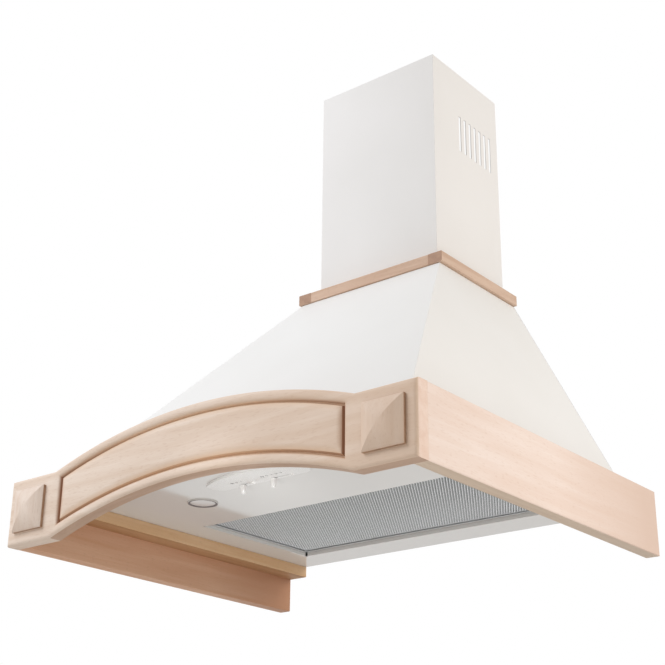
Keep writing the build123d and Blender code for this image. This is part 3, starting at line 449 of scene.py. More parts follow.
# Moulded ABS: clean white with a satin face on the plate. The knobs and the acrylic lenses are polished, and
# an IOR above the plastics' own gives them their strong highlights. The ink is a flat grey.
white_moulding = matt_coat("white_abs", "#f6f6f5", "#f4f4f3", 0.25, PLATE_GRAIN)
knob_white = matt_coat("polished_white_abs", "#fbfbfa", "#f8f8f7", 0.14, POLISHED_GRAIN, POLISHED_BEND)
milky_lens = matt_coat("milky_acrylic", "#fafaf8", "#f6f6f4", 0.1, POLISHED_GRAIN, POLISHED_BEND)
printing = matt_coat("grey_printing_ink", "#4d4d50", "#454548", 0.6, POLISHED_GRAIN)
softened("control_plate", white_moulding, PLATE_EDGE, thinnest=PLATE_DETAIL, shortest=PLATE_DETAIL)
plate_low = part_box("control_plate")[0].z
rest_at = {}
for control in ("light", "speed"):
    knob_low, knob_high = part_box(control + "_knob")
    rest_at[control] = (knob_low.x + knob_high.x) / 2
    knob = softened(control + "_knob", knob_white, KNOB_EDGE, KNOB_SEGMENTS, KNOB_DETAIL, KNOB_DETAIL)
    for corner in knob.data.vertices:
        if corner.co.z < plate_low:
            corner.co.z = plate_low + (corner.co.z - plate_low) * KNOB_SHORTENED
    dress(white_moulding, control + "_switch")
    lens_low, lens_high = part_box(control + "_lens")
    middle = (lens_low + lens_high) / 2
    wide = (lens_high.x - lens_low.x) / 2
    stem = wide * LENS_STEM
    profile = domed(wide, plate_low, plate_low - lens_low.z, LENS_DOME_STEPS)
    profile += [(stem, plate_low), (stem, lens_high.z), (0, lens_high.z)]
    lens_mesh = lathe(control + "_pilot_lens", profile, middle, LENS_STEPS, [milky_lens])
    show(control + "_pilot_lens", lens_mesh, "hood", [control + "_lens"])


def printed(name, mesh, x):
    """Lays a flat mark on the plate's underside, upright to a cook who looks up from the front."""
    turn = Matrix.Rotation(pi, 4, "X")
    mesh.transform(Matrix.Translation((x, MARK_ROW, plate_low - PRINT_LIFT)) @ turn)
    mesh.materials.clear()
    mesh.materials.append(printing)
    return show(name, mesh, "hood")


def figure_mesh(word):
    """A plain printed figure as a flat mesh."""
    outline = bpy.data.curves.new("figure_" + word, "FONT")
    outline.body = word
    outline.size = PRINT_HEIGHT
    outline.align_x = "CENTER"
    outline.align_y = "CENTER"
    carrier = bpy.data.objects.new("figure_" + word, outline)
    scene.collection.objects.link(carrier)
    mesh = bpy.data.meshes.new_from_object(carrier)
    bpy.data.objects.remove(carrier)
    return mesh


def sign_mesh(name, outline, count, disc=0):
    """A flat sign: an outline repeated round the middle, with a disc there if one is given."""
    form = bmesh.new()
    if disc:
        bmesh.ops.create_circle(form, cap_ends=True, segments=LAMP_DISC_SIDES, radius=disc)
    for index in range(count):
        turn = Matrix.Rotation(tau * index / count, 4, "Z")
        form.faces.new([form.verts.new(turn @ Vector((x, y, 0))) for x, y in outline])
    return mesh_of(form, name)


# A round lamp with short rays, and a fan of four rounded blades.
ray = [(RAY_START, -RAY_HALF), (RAY_END, -RAY_HALF), (RAY_END, RAY_HALF), (RAY_START, RAY_HALF)]
angles = [tau * side / BLADE_SIDES for side in range(BLADE_SIDES)]
blade = [(BLADE_OUT + BLADE_LONG * cos(angle), BLADE_ASIDE + BLADE_WIDE * sin(angle)) for angle in angles]
printed("light_mark", sign_mesh("lamp_sign", ray, LAMP_RAYS, LAMP_DISC), rest_at["light"] - SLIDE_STEP)
printed("speed_mark", sign_mesh("fan_sign", blade, FAN_BLADES), rest_at["speed"] - SLIDE_STEP)
for control, stops in (("light", 2), ("speed", 4)):
    for stop in range(stops):
        x = rest_at[control] + stop * SLIDE_STEP
        printed("%s_figure_%d" % (control, stop), figure_mesh(str(stop)), x)

# Grease filter.
# A channel frame of thin aluminium holds a face of fine expanded aluminium, a knitted core and a back grid.
# It swings down on two steel pins, and leaf clips hold its front edge.
MESH_WIDE = 3.83 * MM
MESH_LONG = 6.17 * MM
STRAND_WIDTH = 0.85 * MM
STRAND_TILT = 0.25 * MM
STRAND_THICK = 0.3 * MM
CASE_SHEET = 0.8 * MM
RIM_SHOWN = 3.0 * MM
RIM_BEHIND = 9.0 * MM
RIM_ROUND = 0.5 * MM
RIM_EASE = RIM_ROUND * 0.3
RIM_SHADOW = 2.2 * MM
MILL_MARK = 0.7 * MM
MILL_RUN = (1, 0.08, 1)
KNIT_LOOP = 7 * MM
KNIT_LEAN = radians(55)
KNIT_MARK = 1.8 * MM
KNIT_DEPTH = 0.5 * MM
KNIT_ROUGHNESS = 0.6

# The length at which a wave pattern of scale 1 repeats.
WAVE_LENGTH = tau / 20


def knitted_aluminium(name):
    """Layers of knitted wire. The face towards the fan shows a bright net of loops over gaps painted dark as
    shade, and the face behind the fine mesh is painted dark grey as its shade. The loops are drawn coarser
    than real so that they show."""
    finish, tree, place = new_finish(name)
    marks = add(tree, "ShaderNodeTexNoise", {"Vector": place, "Scale": 1 / KNIT_MARK, "Detail": 3.0})
    # Painted shade: the face behind the fine mesh is a mottled dark grey.
    shaded = add(tree, "ShaderNodeMix", {
        SHARE: marks.outputs[0], FIRST: linear("#6c6e70"), SECOND: linear("#3c3e40")}, data_type="RGBA")
    rows = []
    for lean in (-KNIT_LEAN, KNIT_LEAN):
        turned = add(tree, "ShaderNodeMapping", {"Vector": place, "Rotation": (0, 0, lean)})
        wave = add(tree, "ShaderNodeTexWave", {
            "Vector": turned.outputs[0], "Scale": WAVE_LENGTH / KNIT_LOOP, "Distortion": 1.0, "Detail": 1.0})
        rows.append(wave.outputs["Fac"])
    net = add(tree, "ShaderNodeMath", {0: rows[0], 1: rows[1]}, operation="MAXIMUM")
    wire = add(tree, "ShaderNodeMapRange", {"Value": net.outputs[0], "From Min": 0.55, "From Max": 0.95})
    # The gaps between the loops are painted dark as shade.
    knit = add(tree, "ShaderNodeMix", {
        SHARE: wire.outputs["Result"], FIRST: linear("#55585a"), SECOND: linear("#e3e5e6")}, data_type="RGBA")
    facing = add(tree, "ShaderNodeSeparateXYZ", {"Vector": place.node.outputs["Normal"]})
    upper = add(tree, "ShaderNodeMath", {0: facing.outputs["Z"], 1: 0.0}, operation="GREATER_THAN")
    tint = add(tree, "ShaderNodeMix", {
        SHARE: upper.outputs[0], FIRST: shaded.outputs[MIXED], SECOND: knit.outputs[MIXED]}, data_type="RGBA")
    gloss = add(tree, "ShaderNodeMapRange", {
        "Value": marks.outputs[0], "From Min": NOISE_LOW, "From Max": NOISE_HIGH,
        "To Min": KNIT_ROUGHNESS - METAL_SWING, "To Max": KNIT_ROUGHNESS + METAL_SWING})
    relief = add(tree, "ShaderNodeBump", {"Height": net.outputs[0], "Strength": 0.4, "Distance": KNIT_DEPTH})
    shader = add(tree, "ShaderNodeBsdfPrincipled", {
        "Base Color": tint.outputs[MIXED], "Metallic": 1.0, "Roughness": gloss.outputs["Result"],
        "Normal": relief.outputs["Normal"]})
    add(tree, "ShaderNodeOutputMaterial", {"Surface": shader.outputs["BSDF"]})
    return finish


# Aluminium as it leaves the mill: pale and softly blurred, with rolling marks from front to back.
aluminium = bright_metal("mill_aluminium", "#f4f5f6", "#e8eaeb", 0.36, MILL_MARK, MILL_RUN)
dress(aluminium, "filter_back")
dress(knitted_aluminium("knitted_aluminium_core"), "filter_core")
dress(bright_steel, "filter_pins", "filter_clips")


def loop_tube(name, loops, finish, capped=False):
    """Joins a row of closed loops with the same number of points, end to end or with a cap on each end."""
    form = bmesh.new()
    rings = [[form.verts.new(point) for point in loop] for loop in loops]
    pairs = list(zip(rings, rings[1:]))
    if capped:
        form.faces.new(rings[0])
        form.faces.new(rings[-1])
    else:
        pairs.append((rings[-1], rings[0]))
    for ring, inner in pairs:
        for corner in range(len(ring)):
            ahead = (corner + 1) % len(ring)
            form.faces.new((ring[corner], ring[ahead], inner[ahead], inner[corner]))
    bmesh.ops.recalc_face_normals(form, faces=form.faces)
    return mesh_of(form, name, finish)


def rim_loop(inset, height):
    """The filter frame's outline drawn in by an inset, at a height."""
    return [(x, y, height) for x, y in (
        (case_low.x + inset, case_low.y + inset), (case_high.x - inset, case_low.y + inset),
        (case_high.x - inset, case_high.y - inset), (case_low.x + inset, case_high.y - inset))]


case_low, case_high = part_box("filter_frame")
case_profile = [(0, case_low.z + RIM_ROUND), (RIM_EASE, case_low.z + RIM_EASE), (RIM_ROUND, case_low.z),
                (RIM_SHOWN, case_low.z), (RIM_SHOWN, case_low.z + CASE_SHEET),
                (CASE_SHEET, case_low.z + CASE_SHEET), (CASE_SHEET, case_high.z - CASE_SHEET),
                (RIM_BEHIND, case_high.z - CASE_SHEET), (RIM_BEHIND, case_high.z), (0, case_high.z)]
case_mesh = loop_tube("filter_case", [rim_loop(inset, height) for inset, height in case_profile], aluminium)
show("filter_case", case_mesh, "filter", ["filter_frame"])


def expanded_mesh(low, high):
    """Slit and stretched sheet: zigzag strands run front to back and meet their neighbours at the knots."""
    form = bmesh.new()
    columns = int((high.x - low.x) / (MESH_WIDE / 2))
    rows = int((high.y - low.y) / (MESH_LONG / 2))
    step_x = (high.x - low.x) / columns
    step_y = (high.y - low.y) / rows
    swing = step_x - STRAND_WIDTH / 2
    for column in range(columns):
        x = low.x + (column + 0.5) * step_x
        last = None
        for row in range(rows + 1):
            lean = 1 if (row + column) % 2 else -1
            centre = x + lean * swing / 2
            y = low.y + row * step_y
            tops = (low.z + STRAND_TILT * (1 + lean) / 2, low.z + STRAND_TILT * (1 - lean) / 2)
            here = []
            for side, base in zip((-1, 1), tops):
                here.append(form.verts.new((centre + side * STRAND_WIDTH / 2, y, base)))
            for side, base in zip((1, -1), tops[::-1]):
                here.append(form.verts.new((centre + side * STRAND_WIDTH / 2, y, base + STRAND_THICK)))
            if last:
                for corner in range(4):
                    ahead = (corner + 1) % 4
                    form.faces.new((last[corner], last[ahead], here[ahead], here[corner]))
            else:
                form.faces.new(here)
            last = here
        form.faces.new(last[::-1])
    bmesh.ops.recalc_face_normals(form, faces=form.faces)
    return mesh_of(form, "filter_face", aluminium)


mesh_low, mesh_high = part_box("filter_mesh")
drawn = Vector((RIM_SHOWN + RIM_SHADOW, RIM_SHOWN + RIM_SHADOW, 0))
mesh_low.xy = (case_low + drawn).xy
mesh_high.xy = (case_high - drawn).xy
show("filter_face", expanded_mesh(mesh_low, mesh_high), "filter", ["filter_mesh"])

# Front board.
# A board of raw, sanded beech, sawn to an arch between two square ends and rounded over along its edges. A
# groove is routed in its face and leaves a raised field. Dowels join it to the side boards.
BOARD_HEIGHT = 80 * MM
BOARD_ROUND = 4.2 * MM
BOARD_CREASE = 32
ARCH_HALF_SPAN = 223 * MM
ARCH_RISE = 37 * MM
ARC_STEPS = 72
SIDE_STEPS = 6
MITRE_LIMIT = 0.3
MOULD_HALF_LENGTH = 211 * MM
MOULD_MARGIN = 12 * MM
MOULD_DEPTH = 5.0 * MM
MOULD_FLAT = 1.0 * MM
MOULD_BEVEL = 8.4 * MM
BEVEL_STEPS = 6
BEVEL_BOW = 1.6
WALL_LEAN = 1.8 * MM
WALL_SHARE = 0.65
BAND_LIP = 4.6 * MM
GROOVE_SHADE_SHARE = 0.45
END_ZONE = 5 * MM
FIBRE_DEPTH = 0.12 * MM

# Each pattern of the wood: its size, how far it is stretched along the grain, its detail and waver, where in
# the noise it starts and is full, and its share. Fibres and flecks are drawn coarser than real to show.
GROWTH_BANDS = (11 * MM, 0.94, 3.0, 0.4, 0.32, 0.68, 1.0)
FIBRES = (0.9 * MM, 0.97, 2.0, 0.0, 0.35, 0.75, 0.30)
RAY_FLECKS = (1.3 * MM, 0.82, 0.0, 0.0, 0.64, 0.78, 0.16)

# The way the grain runs. A cut across it shows no direction.
ALONG_X = (1, 0, 0)
END_ON = (0, 0, 0)

# A face counts as an end or an underside when this much of its direction points that way.
SQUARE_ON = 0.9

# The sanded face is pale, and is painted browner towards the right as shade. The sawn arch is darker and
# greyer, partly as sawn wood and partly as painted shade on an underside. End grain is rosy, and the groove
# is painted a warm brown that deepens into it as shade.
FRONT_TONES = ("#f0dfd0", "#e2cbb7", "#b98f70")
SAWN_AND_SHADE_TONES = ("#ceb19b", "#bf9f88", "#a37a5c")
END_TONES = ("#efd9cb", "#e6cab8", "#c39a7e")
ROUTED_TINTS = ("#e6c4a4", "#dcc0a4", "#a97d62")
LIP_TINTS = ("#e8cdb4", "#b88e66", "#a97d62")
FRONT_PAINTED_SHADE = ("X", 0.02, 0.30, "#cfae90", 0.5)


def drifted(tree, place, colour, drift):
    """Painted shade: a slow change of tone along a board, given as its axis, start and end, the tone, and
    its full share.
    """
    axis, start, end, tone, share = drift
    at = add(tree, "ShaderNodeSeparateXYZ", {"Vector": place})
    ripe = add(tree, "ShaderNodeMapRange", {
        "Value": at.outputs[axis], "From Min": start, "From Max": end, "To Max": share})
    mixed = add(tree, "ShaderNodeMix", {
        SHARE: ripe.outputs["Result"], FIRST: colour, SECOND: linear(tone)}, data_type="RGBA")
    return mixed.outputs[MIXED]


def burnished(tree, place, colour, groove):
    """Painted shade in a groove: the wood darkens with depth. A groove is given as its face and floor along Y
    and three tints: for walls along the grain that look down, for those that look up, and for walls across
    the grain. Each tint is the shade painted on such walls."""
    face, floor_at, down_tint, up_tint, across_tint = groove
    at = add(tree, "ShaderNodeSeparateXYZ", {"Vector": place})
    deep = add(tree, "ShaderNodeMapRange", {
        "Value": at.outputs["Y"], "From Min": face, "From Max": floor_at})
    normal = add(tree, "ShaderNodeNewGeometry").outputs["Normal"]
    facing = add(tree, "ShaderNodeSeparateXYZ", {"Vector": normal})
    sideways = add(tree, "ShaderNodeMath", {0: facing.outputs["X"]}, operation="ABSOLUTE")
    across = add(tree, "ShaderNodeMapRange", {
        "Value": sideways.outputs[0], "From Min": 0.1, "From Max": 0.4})
    rising = add(tree, "ShaderNodeMapRange", {
        "Value": facing.outputs["Z"], "From Min": -0.3, "From Max": 0.3})
    lengthwise = add(tree, "ShaderNodeMix", {
        SHARE: rising.outputs["Result"], FIRST: linear(down_tint), SECOND: linear(up_tint)}, data_type="RGBA")
    tint = add(tree, "ShaderNodeMix", {
        SHARE: across.outputs["Result"], FIRST: lengthwise.outputs[MIXED], SECOND: linear(across_tint)},
        data_type="RGBA")
    mixed = add(tree, "ShaderNodeMix", {
        SHARE: deep.outputs["Result"], FIRST: colour, SECOND: tint.outputs[MIXED]}, data_type="RGBA")
    return mixed.outputs[MIXED]


def beech(name, tones, grain, drift=None, groove=None):
    """Raw beech: a pale pink-brown with faint growth bands, fine fibres and short dark ray flecks. Its tones
    are those of the pale wood, of the bands and fibres, and of the flecks."""
    finish, tree, place = new_finish(name)
    pale, dark, fleck = [linear(code) for code in tones]
    colour = pale
    noises = []
    for pattern, tone in ((GROWTH_BANDS, dark), (FIBRES, dark), (RAY_FLECKS, fleck)):
        size, stretch, detail, waver, start, full, share = pattern
        run = add(tree, "ShaderNodeMapping", {
            "Vector": place, "Scale": [1 - stretch * part for part in grain]})
        noise = add(tree, "ShaderNodeTexNoise", {
            "Vector": run.outputs[0], "Scale": 1 / size, "Detail": detail, "Distortion": waver})
        shown = add(tree, "ShaderNodeMapRange", {
            "Value": noise.outputs[0], "From Min": start, "From Max": full, "To Max": share})
        mixed = add(tree, "ShaderNodeMix", {
            SHARE: shown.outputs["Result"], FIRST: colour, SECOND: tone}, data_type="RGBA")
        colour = mixed.outputs[MIXED]
        noises.append(noise.outputs[0])
    # Painted shade along the board, where one is given.
    if drift:
        colour = drifted(tree, place, colour, drift)
    # Painted shade that deepens into the groove, where one is given.
    if groove:
        colour = burnished(tree, place, colour, groove)
    fibre = noises[1]
    gloss = add(tree, "ShaderNodeMapRange", {"Value": fibre, "To Min": 0.52, "To Max": 0.68})
    relief = add(tree, "ShaderNodeBump", {"Height": fibre, "Strength": 0.18, "Distance": FIBRE_DEPTH})
    shader = add(tree, "ShaderNodeBsdfPrincipled", {
        "Base Color": colour, "Roughness": gloss.outputs["Result"], "IOR": 1.45,
        "Normal": relief.outputs["Normal"]})
    add(tree, "ShaderNodeOutputMaterial", {"Surface": shader.outputs["BSDF"]})
    return finish


board_low, board_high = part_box("front_valance")
# The painted shade in the groove is full at this share of its depth.
groove_span = (board_low.y, board_low.y + MOULD_DEPTH * GROOVE_SHADE_SHARE)
front_beech = beech("beech_front_board", FRONT_TONES, ALONG_X, FRONT_PAINTED_SHADE)
sawn_and_shaded_beech = beech("beech_sawn_arch_and_shade", SAWN_AND_SHADE_TONES, ALONG_X)
end_beech = beech("beech_end_grain", END_TONES, END_ON)
routed_beech = beech("beech_routed_groove", FRONT_TONES, ALONG_X, FRONT_PAINTED_SHADE, (*groove_span, *ROUTED_TINTS))
lip_beech = beech("beech_groove_lip", FRONT_TONES, ALONG_X, FRONT_PAINTED_SHADE, (*groove_span, *LIP_TINTS))
board_finishes = [front_beech, end_beech, sawn_and_shaded_beech, routed_beech, lip_beech]
arch_radius = (ARCH_HALF_SPAN ** 2 + ARCH_RISE ** 2) / (2 * ARCH_RISE)


def low_arc(x, margin):
    """Height of the arch's lower edge at a width, moved up into the board by a margin."""
    return ARCH_RISE - arch_radius + sqrt((arch_radius + margin) ** 2 - x * x)


def high_arc(x, margin):
    """Height of the arch's upper edge at a width, moved down into the board by a margin."""
    return BOARD_HEIGHT + ARCH_RISE - arch_radius + sqrt((arch_radius - margin) ** 2 - x * x)


def spread(start, end, steps):
    """Even steps from start up to, but not including, end."""
    return [start + (end - start) * step / steps for step in range(steps)]


def field_outline(inset):
    """The moulded field's outline from the front, drawn in by an inset: width and height pairs."""
    half = MOULD_HALF_LENGTH - inset
    margin = MOULD_MARGIN + inset
    points = [(x, low_arc(x, margin)) for x in spread(-half, half, ARC_STEPS)]
    points += [(half, z) for z in spread(low_arc(half, margin), high_arc(half, margin), SIDE_STEPS)]
    points += [(x, high_arc(x, margin)) for x in spread(half, -half, ARC_STEPS)]
    return points + [(-half, z) for z in spread(high_arc(half, margin), low_arc(half, margin), SIDE_STEPS)]


def board_outline():
    """The front board's outline from the front: two square ends and the arched band between them."""
    end = board_high.x
    points = [(x, 0) for x in spread(-end, -ARCH_HALF_SPAN, SIDE_STEPS)]
    points += [(x, low_arc(x, 0)) for x in spread(-ARCH_HALF_SPAN, ARCH_HALF_SPAN, ARC_STEPS)]
    points += [(x, 0) for x in spread(ARCH_HALF_SPAN, end, SIDE_STEPS)]
    points += [(end, z) for z in spread(0, BOARD_HEIGHT, SIDE_STEPS)]
    points += [(x, BOARD_HEIGHT) for x in spread(end, ARCH_HALF_SPAN, SIDE_STEPS)]
    points += [(x, high_arc(x, 0)) for x in spread(ARCH_HALF_SPAN, -ARCH_HALF_SPAN, ARC_STEPS)]
    points += [(x, BOARD_HEIGHT) for x in spread(-ARCH_HALF_SPAN, -end, SIDE_STEPS)]
    return points + [(-end, z) for z in spread(BOARD_HEIGHT, 0, SIDE_STEPS)]


def drawn_in(points, inset):
    """An outline moved in by an inset, with mitred corners."""
    moved = []
    for index, point in enumerate(points):
        here = Vector(point)
        before = (here - Vector(points[index - 1])).normalized()
        after = (Vector(points[(index + 1) % len(points)]) - here).normalized()
        across = Vector((-before.y, before.x))
        inward = (across + Vector((-after.y, after.x))).normalized()
        moved.append(here + inward * inset / max(MITRE_LIMIT, inward.dot(across)))
    return moved


def front_board():
    """The arched board: rings of points from its back round its edge, then from its face down into the groove
    and up to the field, with each kind of cut in its own finish."""
    form = bmesh.new()

    def ring(points, depth):
        return [form.verts.new((x, board_low.y + depth, board_low.z + z)) for x, z in points]

    def bridge(outer, inner):
        faces = []
        for index in range(len(outer)):
            ahead = (index + 1) % len(outer)
            faces.append(form.faces.new((outer[index], outer[ahead], inner[ahead], inner[index])))
        return faces

    def loop_edges(loop):
        pairs = [(loop[index - 1], loop[index]) for index in range(len(loop))]
        return [form.edges.get(pair) or form.edges.new(pair) for pair in pairs]

    outline = board_outline()
    rings = [ring(outline, board_high.y - board_low.y)]
    for turn in quarter(ROUND_STEPS):
        rings.append(ring(drawn_in(outline, BOARD_ROUND * (1 - cos(turn))), BOARD_ROUND * (1 - sin(turn))))
    for outer, inner in zip(rings, rings[1:]):
        bridge(outer, inner)
    lip = [(BAND_LIP * (sin(turn) - 1), BAND_LIP * (1 - cos(turn))) for turn in quarter(ROUND_STEPS)]
    wall_top = MOULD_FLAT + WALL_LEAN
    arris = MOULD_DEPTH * (1 - WALL_SHARE)
    cut = [(0, MOULD_DEPTH), (MOULD_FLAT, MOULD_DEPTH), (wall_top, arris)]
    for step in range(1, BEVEL_STEPS + 1):
        part = step / BEVEL_STEPS
        cut.append((wall_top + (MOULD_BEVEL - WALL_LEAN) * part, arris * (1 - part) ** BEVEL_BOW))
    routed = [ring(field_outline(inset), depth) for inset, depth in lip + cut]
    grooved = []
    for step, (outer, inner) in enumerate(zip(routed, routed[1:])):
        finish = lip_beech if step < len(lip) else routed_beech
        grooved += [(face, finish) for face in bridge(outer, inner)]
    bmesh.ops.triangle_fill(form, use_beauty=True, edges=loop_edges(rings[-1]) + loop_edges(routed[0]))
    form.faces.new(routed[-1])
    form.faces.new(rings[0][::-1])
    bmesh.ops.recalc_face_normals(form, faces=form.faces)
    for face in form.faces:
        middle = face.calc_center_median()
        if abs(face.normal.x) > SQUARE_ON and abs(middle.x) > board_high.x - END_ZONE:
            face.material_index = board_finishes.index(end_beech)
        # Faces looking down on the arch get the sawn finish, which is also their painted shade.
        elif face.normal.z < -SQUARE_ON and middle.x > -ARCH_HALF_SPAN:
            face.material_index = board_finishes.index(sawn_and_shaded_beech)
    for face, finish in grooved:
        face.material_index = board_finishes.index(finish)
    mesh = mesh_of(form, "front_board", *board_finishes)
    smooth_faces(mesh, BOARD_CREASE)
    return mesh


show("front_board", front_board(), "hood", ["front_valance"])

# Rosette blocks.
# A square block of beech with a pillow-shaped face is glued on each end of the front board, with its grain
# upright.
PILLOW_CROWN = 8.0 * MM
PILLOW_RIM = 0.4 * MM
PILLOW_STEPS = 16
PILLOW_CORNER = 0.15
PILLOW_RIDGE = 7

# How far the two soft ridges reach to each side and out to the rim, in shares of half the width.
PILLOW_BLEND = 0.12
PILLOW_EDGE = 0.99
BLOCK_SIDE = 0.4
ALONG_Z = (0, 0, 1)

# The face is as pale as the front board's. The sides round it are painted dark as shade.
BLOCK_TONES = ("#ecdccf", "#e1ccbb", "#b08868")
BLOCK_SIDE_SHADE_TONES = ("#b8967c", "#a5836a", "#8e6448")


def pillow_block(name, low, high):
    """A square block whose face swells to the middle. Two of the four ridges on its diagonals are sanded
    soft. Points beside each corner keep the shading of a ridge narrow."""
    centre = (low + high) / 2
    half = (high.x - low.x) / 2
    rim = low.y + PILLOW_CROWN
    levels = [(half, high.y), (half, rim + PILLOW_RIM), (half - PILLOW_RIM, rim)]
    for step in range(1, PILLOW_STEPS):
        part = 1 - step / PILLOW_STEPS
        levels.append((half * part, low.y + PILLOW_CROWN * part ** 2))
    corners = [Vector((1, -1)), Vector((1, 1)), Vector((-1, 1)), Vector((-1, -1))]
    around = []
    for corner, after in zip(corners, corners[1:] + corners[:1]):
        around += [corner.lerp(after, stop) for stop in (0, PILLOW_CORNER, 1 - PILLOW_CORNER)]
    loops = [[(centre.x + reach * u, y, centre.z + reach * v) for u, v in around] for reach, y in levels]
    mesh = loop_tube(name, loops, block_beech, True)
    smooth_faces(mesh, PILLOW_RIDGE)
    for edge in mesh.edges:
        ends = [(mesh.vertices[index].co - centre) / half for index in edge.vertices]
        if all(abs(end.x + end.z) < PILLOW_BLEND and abs(end.x) < PILLOW_EDGE for end in ends):
            edge.use_edge_sharp = False
    return mesh


def refinish(piece, finish, chosen):
    """Gives the faces of a piece whose direction passes a test another finish."""
    piece.data.materials.append(finish)
    for face in piece.data.polygons:
        if chosen(face.normal):
            face.material_index = len(piece.data.materials) - 1


# The blocks share the front board's painted shade towards the right.
block_beech = beech("beech_rosettes", BLOCK_TONES, ALONG_Z, FRONT_PAINTED_SHADE)
block_side_shade = beech("beech_block_sides_painted_shade", BLOCK_SIDE_SHADE_TONES, END_ON)
for side in ("left", "right"):
    block = pillow_block("rosette_block_" + side, *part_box("rosette_" + side))
    pillow = show("rosette_block_" + side, block, "hood", ["rosette_" + side])
    # The block's sides get the painted shade.
    refinish(pillow, block_side_shade, lambda normal: abs(normal.y) < BLOCK_SIDE)

# Side boards.
# Two plain beech boards run back to the wall, dowelled to the front board. A batten glued inside each one
# carries the steel body.
SIDE_BOARD_ROUND = 1.5 * MM
BATTEN_ROUND = 0.8 * MM
ALONG_Y = (0, 1, 0)

# The left board is painted redder and darker, as the shade inside the hood; the right one is pale and the
# battens yellower. Both boards are painted darker towards the wall as shade, and undersides are painted
# darker as shade.
LEFT_TONES = ("#e5bb9c", "#d8a684", "#b08060")
LEFT_WALL_SHADE = ("Y", -0.17, -0.03, "#c08d6c", 0.9)
RIGHT_TONES = ("#f4e4da", "#ecd6c8", "#c7a184")
RIGHT_WALL_SHADE = ("Y", -0.24, -0.03, "#dbc1b0", 0.9)
RIGHT_UNDERSIDE_SHADE_TONES = ("#e1cdb8", "#d6c0aa", "#b3937a")
BATTEN_TONES = ("#eecba4", "#dfb588", "#b58a63")
BATTEN_UNDERSIDE_SHADE_TONES = ("#c59a72", "#b3865d", "#96693f")

batten_beech = beech("beech_battens", BATTEN_TONES, ALONG_Y)
under_beech = beech("beech_batten_undersides_painted_shade", BATTEN_UNDERSIDE_SHADE_TONES, ALONG_Y)
for side in ("left", "right"):
    batten = softened("batten_" + side, batten_beech, BATTEN_ROUND)
    # The batten's underside is painted darker as shade.
    refinish(batten, under_beech, lambda normal: normal.z < -SQUARE_ON)
# The left board's tones and its darkening towards the wall are painted shade.
softened("side_board_left", beech("beech_left_board", LEFT_TONES, ALONG_Y, LEFT_WALL_SHADE), SIDE_BOARD_ROUND)
right_beech = beech("beech_right_board", RIGHT_TONES, ALONG_Y, RIGHT_WALL_SHADE)
right_under_beech = beech("beech_right_underside_painted_shade", RIGHT_UNDERSIDE_SHADE_TONES, ALONG_Y)
right_board = softened("side_board_right", right_beech, SIDE_BOARD_ROUND)
# The right board is painted darker towards the wall, and its underside darker, as shade.
refinish(right_board, right_under_beech, lambda normal: normal.z < -SQUARE_ON)
dress(end_beech, "frame_dowels")

# Chimney.
# A U of lacquered steel sheet with seven vent slots punched in each side. It stands on the canopy and hooks
# on a strip of galvanised steel on the wall.
chimney_white = white_lacquer("chimney_white_lacquer", "#f1f0ef", "#edecea", 0.74, 0.82)
softened("chimney_cover", chimney_white, FOLD_RADIUS)
dress(zinc, "chimney_bracket")

# Crown strips.
# Three strips of beech hide the chimney's foot. The side strips run through to the front, where their end
# grain shows, and the front strip sits between them.
CROWN_ROUND = 1.6 * MM

# A browner plank than the frame's, with dark end grain at the corners.
CROWN_FRONT_TONES = ("#dcc0aa", "#c9a78d", "#a37c5e")
CROWN_SIDE_TONES = ("#d6bba6", "#c4a48c", "#a37c5e")
CROWN_END_TONES = ("#b8947a", "#a5816a", "#8e6448")

softened("crown_front", beech("beech_crown_front", CROWN_FRONT_TONES, ALONG_X), CROWN_ROUND)
crown_side_beech = beech("beech_crown_sides", CROWN_SIDE_TONES, ALONG_Y)
crown_end_beech = beech("beech_crown_ends", CROWN_END_TONES, END_ON)
for side in ("left", "right"):
    strip = softened("crown_" + side, crown_side_beech, CROWN_ROUND)
    refinish(strip, crown_end_beech, lambda normal: normal.y < -SQUARE_ON)

# Studio.
# A pale painted floor well below the hood, a white surround, and soft boxes: at the front left for the
# moulded board, at the right for the side board, and two weak ones low down. A spot is on the controls.
FLOOR_DROP = 0.75
FLOOR_REACH = 1.6
WALL_LINE = 0.4
SCUFF = 500 * MM
SOFT_BOXES = (
    # Name, place, target, size, power and colour.
    ("front_left_box", (-1.45, -2.2, 1.7), (0.0, -0.4, -0.1), 2.0, 62, "#f8faff"),
    ("right_box", (2.3, 0.35, 0.55), (0.15, -0.2, 0.0), 1.3, 30, "#fff9f3"),
    ("low_front_box", (-0.15, -1.6, -0.85), (0.0, -0.38, -0.28), 0.5, 1.7, "#ffffff"),
    ("low_right_box", (1.0, -0.35, -0.95), (-0.15, -0.25, -0.27), 0.5, 2.0, "#ffffff"),
)
SPOT_AT = (0.35, -1.25, -0.72)
SPOT_TARGET = (0.0, -0.39, -0.285)
SPOT_POWER = 16
SPOT_CONE = radians(6.5)
SPOT_BLEND = 0.7
SPOT_RADIUS = 0.05

bpy.context.scene.view_settings.view_transform = "Standard"
floor_mesh = bpy.data.meshes.new("studio_floor")
level = cad_box[0][2] - FLOOR_DROP
corners = [(-FLOOR_REACH, -FLOOR_REACH, level), (FLOOR_REACH, -FLOOR_REACH, level),
           (FLOOR_REACH, WALL_LINE, level), (-FLOOR_REACH, WALL_LINE, level)]
floor_mesh.from_pydata(corners, [], [(0, 1, 2, 3)])

